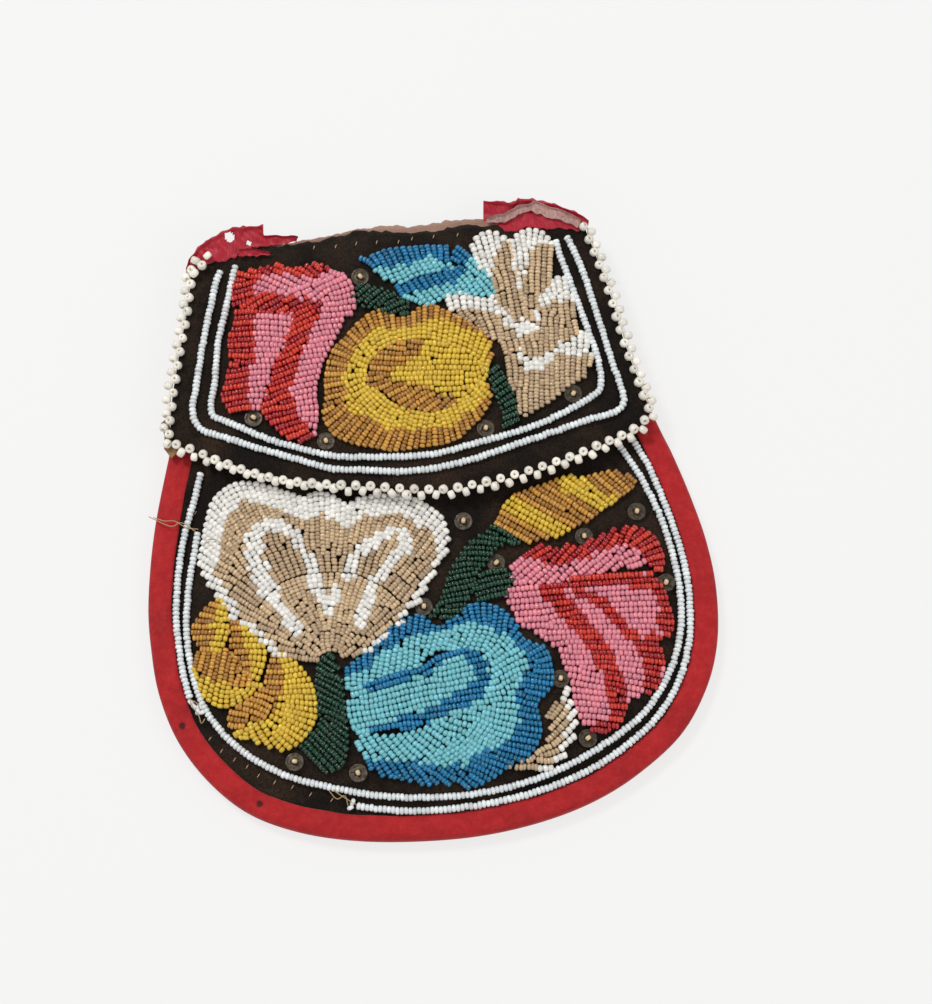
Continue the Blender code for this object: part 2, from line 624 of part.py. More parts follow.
def flap_rise(point):
    """The flap follows the front under it, then levels out and rolls down to the seam."""
    roll_start = place((0, ROLL_START)).y
    seam = place((0, SEAM)).y
    drop = FLAP_LINING_Z + POCKET_RISE - HINGE_Z - SEAM_CLEARANCE
    part = max(0.0, min(1.0, (point.y - roll_start) / (seam - roll_start)))
    rise = bulge(point)
    return rise + (POCKET_RISE - rise) * part * part * (3 - 2 * part) - drop * part**2


def back_rise(point):
    """The back drops from the binding's lower lip to the table, and climbs to the seam."""
    start = place((0, CLIMB_START)).y
    climb = eased((point.y - start) / (place((0, SEAM)).y - start))
    sink = min(1.0, max(0.0, (inside_edge(point) - SLOPE_START) / SINK_WIDTH))
    return SEAM_RISE * climb - BACK_SINK * max(sink, climb)

def material(name):
    found = bpy.data.materials.get(name)
    if found:
        return found
    made = bpy.data.materials.new(name)
    made.use_nodes = True
    colour, roughness = COLOURS[name]
    shader = made.node_tree.nodes["Principled BSDF"]
    shader.inputs["Base Color"].default_value = (*colour, 1.0)
    shader.inputs["Roughness"].default_value = roughness
    shader.inputs["Metallic"].default_value = 0.0
    return made


def finish(mesh, name, colours, smooth=False):
    """Turns a bmesh into an object with its materials."""
    bmesh.ops.recalc_face_normals(mesh, faces=mesh.faces)
    data = bpy.data.meshes.new(name)
    mesh.to_mesh(data)
    mesh.free()
    for colour in colours:
        data.materials.append(material(colour))
    if smooth:
        data.shade_smooth()
        data.set_sharp_from_angle(angle=math.radians(50))
    made = bpy.data.objects.new(name, data)
    bpy.context.scene.collection.objects.link(made)
    return made


def join_flat(mesh, faces):
    """Joins the neighbours among these faces that lie in one plane."""
    mesh.normal_update()
    chosen = set(faces)
    edges = {edge for face in faces for edge in face.edges if chosen.issuperset(edge.link_faces)}
    verts = {vert for face in faces for vert in face.verts if chosen.issuperset(vert.link_faces)}
    bmesh.ops.dissolve_limit(mesh, angle_limit=0.0005, verts=list(verts), edges=list(edges))


def slab(name, colour, faces_of, level, rise, thickness):
    """A sheet of even thickness: its lower surface, raised in one step."""
    mesh = bmesh.new()
    points, faces = faces_of
    verts = [mesh.verts.new((point.x, point.y, level + rise(point))) for point in points]
    for face in faces:
        mesh.faces.new([verts[index] for index in face])
    raised = bmesh.ops.extrude_face_region(mesh, geom=mesh.faces[:], use_keep_orig=True)
    moved = [item for item in raised["geom"] if isinstance(item, bmesh.types.BMVert)]
    bmesh.ops.translate(mesh, verts=moved, vec=(0, 0, thickness))
    return finish(mesh, name, [colour])


def body_edge_below_mouth():
    """The edge that the binding covers, with its ends on the line of the mouth."""
    line = [point for point in EDGE_LINE if point.y < MOUTH_Y - EDGE_STEP / 4]
    first = EDGE_LINE.index(line[0])
    last = EDGE_LINE.index(line[-1])
    ends = []
    for low, high in ((EDGE_LINE[first], EDGE_LINE[first - 1]), (EDGE_LINE[last], EDGE_LINE[last + 1])):
        ends.append(low + (high - low) * (MOUTH_Y - low.y) / (high.y - low.y))
    return [ends[0], *line, ends[1]]


def rings(insets):
    """Copies of the body's edge at set distances inside it, all ending on the line of the mouth."""
    line = body_edge_below_mouth()
    made = []
    for inset in insets:
        ring = [point + inward(line, index) * inset for index, point in enumerate(line)]
        ring[0] = Vector((ring[0].x, MOUTH_Y))
        ring[-1] = Vector((ring[-1].x, MOUTH_Y))
        made.append(ring)
    return made


def panel_surface(insets, collar_levels):
    """Faces between the rings, one face for the flat middle, and strips above the mouth."""
    lines = rings(insets)
    width = len(lines[0])
    points = [point for line in lines for point in line]
    faces = []
    for ring in range(len(lines) - 1):
        for step in range(width - 1):
            low = ring * width + step
            faces.append((low, low + 1, low + 1 + width, low + width))
    faces.append(tuple(range((len(lines) - 1) * width, len(lines) * width)))
    row = [ring * width for ring in range(len(lines))]
    row += [(ring + 1) * width - 1 for ring in reversed(range(len(lines)))]
    base = [points[index] for index in row]
    seam_x = place(BODY_EDGE[0]).x + PANEL_INSET
    for level in collar_levels:
        narrowing = 1 + (level - MOUTH) / (SEAM - MOUTH) * (seam_x / base[0].x - 1)
        new_row = []
        for point in base:
            new_row.append(len(points))
            points.append(Vector((point.x * narrowing, place((0, level)).y)))
        for offset in range(len(row) - 1):
            faces.append((row[offset], row[offset + 1], new_row[offset + 1], new_row[offset]))
        row = new_row
    return points, faces


def make_back():
    """The velvet climbs to the seam, and the card and the lining end where it starts to bend."""
    insets = [PANEL_INSET, SLOPE_START, SLOPE_START + SINK_WIDTH]
    steps = [CLIMB_START + (SEAM - CLIMB_START) * part for part in SLOPE_STEPS]
    slab("back_velvet", "velvet", panel_surface(insets, steps), BACK_VELVET_Z, back_rise, VELVET)
    stiff = panel_surface(insets, [CLIMB_START])
    slab("back_board", "card", stiff, BACK_BOARD_Z, back_rise, BOARD)
    slab("back_lining", "lining", stiff, BACK_LINING_Z, back_rise, LINING)


def make_front():
    insets = [PANEL_INSET] + [SLOPE_START + SLOPE_WIDTH * part for part in SLOPE_STEPS]
    surface = panel_surface(insets, [])
    slab("front_lining", "lining", surface, FRONT_LINING_Z, bulge, LINING)
    slab("front_board", "card", surface, FRONT_BOARD_Z, bulge, BOARD)
    slab("front_velvet", "velvet", surface, FRONT_VELVET_Z, bulge, VELVET)


def sweep(name, colour, rows, smooth=False):
    """A closed body through rings of the same count of points, with both ends filled."""
    mesh = bmesh.new()
    loops = [[mesh.verts.new(point) for point in row] for row in rows]
    count = len(loops[0])
    for low, high in zip(loops, loops[1:]):
        for index in range(count):
            beside = (index + 1) % count
            mesh.faces.new((low[index], low[beside], high[beside], high[index]))
    mesh.faces.new(loops[0])
    mesh.faces.new(list(reversed(loops[-1])))
    return finish(mesh, name, [colour], smooth)


def make_binding():
    """The tape folded round both rims: its lips lie under the back and over the front."""
    soft = TAPE * 1.5
    profile = [
        (BINDING_WIDTH, 0.0), (soft, 0.0), (0.0, soft), (0.0, RIM_TOP_Z - soft), (soft, RIM_TOP_Z),
        (BINDING_WIDTH, RIM_TOP_Z), (BINDING_WIDTH, RIM_TOP_Z - TAPE), (soft, RIM_TOP_Z - TAPE),
        (TAPE, RIM_TOP_Z - soft), (TAPE, soft), (soft, TAPE), (BINDING_WIDTH, TAPE),
    ]
    line = body_edge_below_mouth()
    rows = []
    for index, point in enumerate(line):
        side = inward(line, index)
        if index in (0, len(line) - 1):
            side = Vector((math.copysign(1.0, -point.x), 0.0))
        rows.append([(*(point + side * inset), level) for inset, level in profile])
    sweep("body_binding", "tape", rows)


def flap_grid(columns, rows):
    """Points between the four edges of the flap, as rows from its bottom to its top."""
    edges = (FLAP_LEFT, FLAP_RIGHT, FLAP_BOTTOM, FLAP_TOP)
    left, right, bottom, top = ([place(point) for point in line] for line in edges)
    scaled = [even_positions(line, 60) for line in (left, right, bottom, top)]

    def at(line, positions, part):
        low = min(int(part * 60), 59)
        return on_spline(line, positions[low] + (positions[low + 1] - positions[low]) * (part * 60 - low))

    corners = (bottom[0], bottom[-1], top[0], top[-1])
    grid = []
    for up in rows:
        row = []
        for across in columns:
            sides = at(left, scaled[0], up) * (1 - across) + at(right, scaled[1], up) * across
            ends = at(bottom, scaled[2], across) * (1 - up) + at(top, scaled[3], across) * up
            flat = (corners[0] * (1 - across) + corners[1] * across) * (1 - up)
            flat += (corners[2] * (1 - across) + corners[3] * across) * up
            row.append(sides + ends - flat)
        grid.append(row)
    return grid


def grid_surface(grid):
    width = len(grid[0])
    points = [point for row in grid for point in row]
    faces = []
    for up in range(len(grid) - 1):
        for across in range(width - 1):
            low = up * width + across
            faces.append((low, low + 1, low + 1 + width, low + width))
    return points, faces


FLAP_COLUMNS = [0, 0.035, 0.07, 0.105, 0.14, 0.175, 0.215, 0.5, 0.785, 0.825, 0.86, 0.895, 0.93, 0.965, 1]
FLAP_ROWS = [0, 0.22, 0.44, 0.66, 0.83, 0.93, 1]


def make_flap():
    grid = flap_grid(FLAP_COLUMNS, FLAP_ROWS)
    surface = grid_surface(grid)
    slab("flap_board", "card", surface, FLAP_BOARD_Z, flap_rise, BOARD)
    slab("flap_velvet", "velvet", surface, FLAP_VELVET_Z, flap_rise, VELVET)
    seam_y = place((0, SEAM)).y
    raw_edge = [Vector((point.x * 0.985, seam_y - 0.12 * (seam_y - point.y))) for point in grid[-1]]
    slab("flap_lining", "lining", grid_surface([*grid, raw_edge]), FLAP_LINING_Z, flap_rise, LINING)


def beaded_string(name, pattern, rise, level, spacing, least=0.0):
    """A half-round ridge along a string of beads sewn down side by side, at least so far inside the edge."""
    line = resample([place(point) for point in pattern], spacing)
    if least:
        line = [kept_inside(point, least) for point in line]
    half = BEAD / 2
    flat = half * 0.4
    profile = [(-half, 0.0), (-half, half), (-flat, BEAD), (flat, BEAD), (half, half), (half, 0.0)]
    rows = []
    for index, point in enumerate(line):
        side = inward(line, index)
        ground = level + rise(point)
        rows.append([(*(point + side * across), ground + up) for across, up in profile])
    sweep(name, "pale", rows)


def make_strings():
    on_front = FRONT_TOP_Z + 1.3 * GAP
    on_flap = FLAP_TOP_Z + 1.3 * GAP
    step = 0.0085
    beaded_string("front_bead_string_outer", FRONT_OUTER_STRING, bulge, on_front, step, OUTER_STRING_INSET)
    beaded_string(
        "front_bead_string_outer_left", FRONT_OUTER_STRING_LEFT, bulge, on_front, step, OUTER_STRING_INSET
    )
    beaded_string("front_bead_string_inner", FRONT_INNER_STRING, bulge, on_front, step, INNER_STRING_INSET)
    beaded_string("flap_bead_string_outer", FLAP_OUTER_STRING, flap_rise, on_flap, step)
    beaded_string("flap_bead_string_inner", FLAP_INNER_STRING, flap_rise, on_flap, step)


def make_picot_edge():
    """Large beads in a zigzag along the flap's edge: one on the velvet, the next beyond it."""
    left = [place(point) for point in reversed(FLAP_LEFT)]
    bottom = [place(point) for point in FLAP_BOTTOM]
    right = [place(point) for point in FLAP_RIGHT]
    path = [*left[1:], *bottom[1:], *right[1:-1]]
    count = 2 * round(spline_length(path) / PICOT_PITCH)
    line = [on_spline(path, at) for at in even_positions(path, count)]
    centres = []
    for index, point in enumerate(line):
        outward = -inward(line, index)
        ground = FLAP_TOP_Z + flap_rise(point)
        if index % 2:
            centres.append(Vector((*(point + outward * PICOT_REACH), ground + 0.1 * EDGE_BEAD)))
        else:
            centres.append(Vector((*(point - outward * 0.1 * EDGE_BEAD), ground + GAP + EDGE_BEAD / 2)))
    stations = []
    for low, high in zip(centres, centres[1:]):
        stations += [(low, EDGE_BEAD / 2), ((low + high) / 2, EDGE_BEAD * 0.22)]
    stations.append((centres[-1], EDGE_BEAD / 2))
    sides = 4
    rows = []
    for index, (centre, radius) in enumerate(stations):
        before = stations[max(index - 1, 0)][0]
        after = stations[min(index + 1, len(stations) - 1)][0]
        along = (after - before).normalized()
        across = along.cross(Vector((0, 0, 1))).normalized()
        up = across.cross(along)
        turns = [2 * math.pi * step / sides for step in range(sides)]
        rows.append([centre + (across * math.cos(turn) + up * math.sin(turn)) * radius for turn in turns])
    sweep("flap_picot_edge", "cream", rows, True)


def on_rails(rails, at, part):
    """A point between the rails: `at` runs along them and `part` runs from the first to the last."""
    low = min(int(part), len(rails) - 2)
    return on_spline(rails[low], at).lerp(on_spline(rails[low + 1], at), part - low)


def near_band(bands, point):
    for colour, reach, line in bands:
        fitted = [place(corner) for corner in line]
        if distance_to(fitted, point) < reach * PURSE_WIDTH / PATTERN_WIDTH:
            return colour
    return None


def make_motif(motif):
    """A pad of sewn beads: its top is folded into ridges, each arched from the first rail to the last."""
    on_flap = motif["on"] == "flap"
    rise = flap_rise if on_flap else bulge
    level = (FLAP_TOP_Z if on_flap else FRONT_TOP_Z) + 1.3 * GAP
    rails = [[place(point) for point in rail] for rail in motif["rails"]]
    if not on_flap:
        rails = [[kept_inside(point, BEADWORK_INSET) for point in rail] for rail in rails]
    longest = max(rails, key=spline_length)
    ridges = max(2, round(spline_length(longest) / (ROWS_PER_RIDGE * BEAD)))
    positions = even_positions(longest, 2 * ridges)
    middle = positions[len(positions) // 2]
    heights = [rise(point) for rail in rails for point in rail]
    fine = motif.get("bands") or max(heights) > min(heights)
    parts = [0.0]
    zones = []
    for zone, (low, high) in enumerate(zip(rails, rails[1:])):
        length = (on_spline(high, middle) - on_spline(low, middle)).length
        cells = max(1, round(length / CELL)) if fine else 1
        parts += [zone + (cell + 1) / cells for cell in range(cells)]
        zones += [motif["colours"][zone]] * cells
    colours = list(dict.fromkeys([*motif["colours"], *(band[0] for band in motif.get("bands", []))]))
    arches = [PAD_ARCH * (1 - (2 * part / parts[-1] - 1) ** 2) for part in parts]
    mesh = bmesh.new()
    lower, upper, underside = [], [], []
    for index, at in enumerate(positions):
        height = BEAD * (0.95 if index % 2 else 0.55)
        spots = [on_rails(rails, at, part) for part in parts]
        lower.append([mesh.verts.new((spot.x, spot.y, level + rise(spot))) for spot in spots])
        tops = [level + rise(spot) + height + arch for spot, arch in zip(spots, arches)]
        upper.append([mesh.verts.new((spot.x, spot.y, top)) for spot, top in zip(spots, tops)])
    last = len(parts) - 1
    for row in range(len(positions) - 1):
        for cell in range(last):
            corners = (lower[row][cell], lower[row][cell + 1], lower[row + 1][cell + 1], lower[row + 1][cell])
            underside.append(mesh.faces.new(corners))
            low, high = upper[row], upper[row + 1]
            top = mesh.faces.new((low[cell], high[cell], high[cell + 1], low[cell + 1]))
            middle_point = top.calc_center_median().xy
            colour = near_band(motif.get("bands", []), middle_point) or zones[cell]
            top.material_index = colours.index(colour)
        for end in (0, last):
            mesh.faces.new((lower[row][end], lower[row + 1][end], upper[row + 1][end], upper[row][end]))
    for row in (0, len(positions) - 1):
        for cell in range(last):
            mesh.faces.new((lower[row][cell], lower[row][cell + 1], upper[row][cell + 1], upper[row][cell]))
    join_flat(mesh, underside)
    finish(mesh, motif["name"], colours)


def make_sequin(name, centre, rise, level):
    """A thin disc under one small bead, turned as one profile."""
    rim = [centre + Vector((math.cos(turn), math.sin(turn))) * SEQUIN / 2 for turn in range(6)]
    ground = level + max(rise(point) for point in rim)
    mesh = bmesh.new()
    bead = BEAD / 2
    profile = [(0.0, 0.0), (SEQUIN / 2, 0.0), (SEQUIN / 2, SEQUIN_SHEET), (bead, SEQUIN_SHEET)]
    profile += [(bead, SEQUIN_SHEET + bead), (0.0, SEQUIN_SHEET + 1.6 * bead)]
    verts = [mesh.verts.new((radius, 0.0, height)) for radius, height in profile]
    edges = [mesh.edges.new(pair) for pair in zip(verts, verts[1:])]
    bmesh.ops.spin(
        mesh, geom=verts + edges, axis=(0, 0, 1), cent=(0, 0, 0), steps=8, angle=math.tau, use_merge=True
    )
    bmesh.ops.remove_doubles(mesh, verts=mesh.verts, dist=0.00001)
    bmesh.ops.translate(mesh, verts=mesh.verts, vec=(centre.x, centre.y, ground))
    finish(mesh, name, ["sequin"], True)


def make_sequins():
    for index, spot in enumerate(FLAP_SEQUINS):
        make_sequin(f"flap_sequin_{index + 1}", place(spot), flap_rise, FLAP_TOP_Z + 1.3 * GAP)
    for index, spot in enumerate(FRONT_SEQUINS):
        centre = kept_inside(place(spot), BEADWORK_INSET + SEQUIN / 2)
        make_sequin(f"front_sequin_{index + 1}", centre, bulge, FRONT_TOP_Z + 1.3 * GAP)


def make_ribbon(name, edges):
    """A torn end of ribbon on the velvet, which stands off past the top of the flap."""
    low, high = ([place(point) for point in edge] for edge in edges)
    edge_y = place(FLAP_TOP[2]).y
    grid = []
    for part in (0, 0.5, 1):
        grid.append([start.lerp(end, part) for start, end in zip(low, high)])

    def rise(point):
        return flap_rise(Vector((point.x, min(point.y, edge_y))))

    slab(name, "ribbon", grid_surface(grid), FLAP_TOP_Z + 1.5 * GAP, rise, RIBBON)


def hinge_flap():
    """Hangs everything named flap_ on an empty on the hinge line."""
    hinge = bpy.data.objects.new("flap_hinge", None)
    hinge.location = (0, HINGE_Y, HINGE_Z)
    bpy.context.scene.collection.objects.link(hinge)
    bpy.context.view_layer.update()
    for item in list(bpy.context.scene.objects):
        if item.type == "MESH" and item.name.startswith("flap_"):
            item.parent = hinge
            item.matrix_parent_inverse = hinge.matrix_world.inverted()


def build():
    for item in list(bpy.data.objects):
        bpy.data.objects.remove(item, do_unlink=True)
    make_back()
    make_front()
    make_binding()
    make_flap()
    make_strings()
    make_picot_edge()
    for motif in MOTIFS:
        make_motif(motif)
    make_sequins()
    make_ribbon("flap_ribbon_left", LEFT_RIBBON)
    make_ribbon("flap_ribbon_right", RIGHT_RIBBON)
    hinge_flap()


build()
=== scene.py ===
import math
import random

import bmesh
import bpy
from mathutils import Matrix, Vector, kdtree, noise


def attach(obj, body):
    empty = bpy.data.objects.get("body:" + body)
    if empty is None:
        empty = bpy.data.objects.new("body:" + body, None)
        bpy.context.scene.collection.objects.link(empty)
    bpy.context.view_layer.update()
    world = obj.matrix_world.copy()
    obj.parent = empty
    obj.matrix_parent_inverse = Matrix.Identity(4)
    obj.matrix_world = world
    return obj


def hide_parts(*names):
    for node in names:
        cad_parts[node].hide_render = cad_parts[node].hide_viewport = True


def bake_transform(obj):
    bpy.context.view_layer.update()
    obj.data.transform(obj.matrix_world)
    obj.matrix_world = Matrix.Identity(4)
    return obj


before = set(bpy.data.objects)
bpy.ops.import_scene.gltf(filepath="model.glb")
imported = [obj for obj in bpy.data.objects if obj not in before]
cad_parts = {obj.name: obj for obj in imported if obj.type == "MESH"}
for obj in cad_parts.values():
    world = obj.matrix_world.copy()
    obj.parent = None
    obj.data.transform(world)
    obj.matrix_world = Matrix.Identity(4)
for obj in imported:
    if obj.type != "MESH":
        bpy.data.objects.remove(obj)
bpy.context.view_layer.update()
bpy.context.scene.view_settings.view_transform = "Standard"
print("frame loaded")

# the pattern of the purse: outlines in millimetres, right is +X and up is +Y
bodyEdge = [
    (-54, 96), (-57.5, 86), (-65.5, 60), (-73.5, 34.5), (-80, 11.5), (-83.6, -9.5), (-84, -24.5), (-82.8, -38),
    (-78.6, -52), (-71, -64.5), (-60.5, -75), (-47, -82), (-31, -86.5), (-13, -88.9), (6, -89.5), (24, -87.6),
    (40, -83.5), (54, -77), (68, -67), (77.2, -54.5), (82.4, -41), (84.3, -25.5), (83.5, -11), (80.7, 3.5),
    (77, 17.5), (73.6, 28), (65.5, 56), (57.5, 84), (54, 96),
]
flapLeft = [(-72.2, 37.5), (-71, 48), (-68, 61), (-64.5, 74), (-62.2, 84), (-61.2, 90)]
flapRight = [(71.3, 29.5), (70.2, 36), (66.8, 52), (64.4, 68), (61.2, 83), (59.3, 90)]
flapBottom = [
    (-72.2, 37.5), (-64.8, 33), (-57.8, 28.2), (-50.8, 24.4), (-43, 21.2), (-35, 18.9), (-25, 17), (-15, 15.4),
    (-5, 13.5), (7, 11.8), (18, 12.4), (30, 14), (40, 16), (50, 18.5), (60, 22), (67.5, 25.4), (71.3, 29.5),
]
flapTop = [
    (-61.2, 90), (-56, 92), (-50, 93.4), (-44.4, 95), (-36, 94.4), (-27, 94.6), (-20.4, 94.9), (-16.3, 95.2),
    (-13, 95.6), (-10.4, 96), (-6, 95.9), (-0.7, 95.4), (2.6, 94.2), (7.3, 93.2), (13, 93.6), (21.4, 94),
    (28.3, 93.5), (32.5, 93.6), (35.5, 92.2), (42, 91.5), (49.5, 91), (54, 90.8), (59.3, 90),
]
clothTop = [
    (-61.2, 90.4), (-56, 93), (-50, 94.6), (-44, 95.8), (-36, 95.6), (-27.4, 96.1), (-20.4, 96.5), (-16.2, 96.9),
    (-11.1, 97.8), (-6.2, 98), (-1.2, 98), (3.5, 97.6), (6.1, 96.8), (11.7, 96.9), (17.4, 97.2), (27.1, 96.8),
    (32.7, 96), (37.6, 95.2), (45, 93.6), (52, 92), (59.3, 90.4),
]
flapOuterString = [
    (-52.5, 88.3), (-54.5, 84), (-55.5, 80), (-57.5, 74), (-60, 65), (-61.5, 59), (-63.3, 52), (-64.6, 47),
    (-64.3, 42.5), (-62, 39.3), (-56, 36), (-50, 32.8), (-43, 29.6), (-35, 26.3), (-25, 22.2), (-15, 20.6),
    (-5, 19), (5, 18.8), (15, 20), (25, 22), (35, 24.3), (45, 26.5), (55, 29), (61, 30.6), (64, 33.5), (63.5, 39),
    (62, 47), (60.5, 56), (59, 65), (57.4, 74), (55.6, 81.5), (53.7, 87),
]
flapInnerString = [
    (-47.8, 89.3), (-49.2, 85), (-51, 79), (-53, 73), (-55, 66.5), (-56.2, 60), (-57.5, 53), (-59, 47.5),
    (-58.7, 43.5), (-55, 40.8), (-49, 37), (-42, 33), (-33, 29.2), (-24, 26), (-14, 24.5), (-4, 23.4), (6, 23.2),
    (16, 24.6), (27, 26.4), (38, 28.8), (47, 32), (52.5, 34.6), (57, 37.8), (58.2, 43), (57.6, 50), (56, 58),
    (54.2, 66.5), (52.3, 75), (51, 80.5), (50.2, 86.3),
]
frontOuterStringLeft = [
    (-64.5, 27), (-67, 19.5), (-69.5, 13), (-71.8, 6), (-73.5, -1), (-74.7, -8), (-75.6, -16), (-76, -25),
    (-75.6, -33), (-74, -39.5),
]
frontOuterString = [
    (-28, -77.3), (-21, -79), (-12, -80.6), (-2, -81.3), (8, -81.4), (18, -80.6), (27, -79), (36, -76.5),
    (45, -73.2), (53, -69), (60, -64), (66.5, -57.5), (72, -50), (75.5, -42), (77.3, -33), (77.6, -23),
    (76.6, -13), (74.6, -3), (71.8, 7), (68.8, 15), (65.5, 22.5),
]
frontInnerString = [
    (-66.9, 8.6), (-68.7, 2), (-70.6, -5), (-72.2, -13), (-72.9, -21), (-72.8, -29), (-72, -37), (-69.7, -43.5),
    (-65.5, -51), (-60, -57.3), (-53, -63), (-45, -67.5), (-36, -70.8), (-28, -73.4), (-19, -75.6), (-9, -77),
    (2, -77.7), (13, -77.2), (23, -75.6), (32, -73.2), (41, -69.6), (49, -65.6), (57, -60.5), (63, -54.2),
    (67.9, -46.8), (71.2, -38.8), (72.9, -30), (73.1, -20), (72, -9.5), (69.7, 1), (66, 11.5), (61.5, 20.5),
]
flapSequins = [(-10.3, 81), (-46.6, 40.6), (-25.9, 31), (21.8, 29.4), (49, 37)]
frontSequins = [
    (12, 3), (20.2, -10.8), (47, -5.8), (63.5, 0), (69.3, -22.3), (-2.6, -21.4), (34.7, -47.4), (40.4, -65.6),
    (-45, -62.6), (-27, -68),
]
# each strip of torn ribbon: its lower and its upper edge, and the holes in it with their radius
leftRibbon = [
    ([(-62.6, 89.3), (-58.9, 90), (-54.8, 91.6), (-51.3, 91.6), (-47.5, 92.4), (-45.3, 94.4), (-41.3, 95),
      (-36.2, 94.7), (-31.8, 94.8), (-28.3, 95.4)],
     [(-62.5, 90.4), (-61.6, 93.1), (-57.3, 97.7), (-50.9, 100.9), (-45.9, 102.2), (-42.7, 101.7), (-37.8, 101.6),
      (-38.2, 98.2), (-35.9, 97.7), (-27.7, 96.4)],
     [(-48.4, 98.9, 1.5), (-42.8, 96.4, 0.8)]),
    ([(-46.4, 92.2), (-43, 91.9), (-39.6, 91.6), (-36.5, 91.2)],
     [(-45.8, 94.4), (-42.6, 94), (-39.4, 92.9), (-36.7, 91.8)],
     []),
]
rightRibbon = [
    ([(28.9, 95.3), (32.5, 94.2), (34.9, 91.2), (39.1, 90.8), (42, 91.6), (49.5, 90.3), (54.4, 90.1), (57.7, 89),
      (60.5, 90.1)],
     [(29.6, 101.3), (34.5, 100.6), (39.5, 99.9), (40.4, 101.4), (43.8, 100.6), (49.2, 98.9), (54, 96.6),
      (57.5, 94.4), (60.8, 91.2)],
     []),
    ([(29.6, 93.8), (35, 93.8), (39.6, 95.6), (44, 96.4), (48.6, 93.6), (54, 91.6), (57.4, 89.8)],
     [(30, 95.4), (35.6, 96), (39.6, 98), (45.4, 99), (50.4, 96.4), (55.4, 94), (58.4, 91.4)],
     []),
]

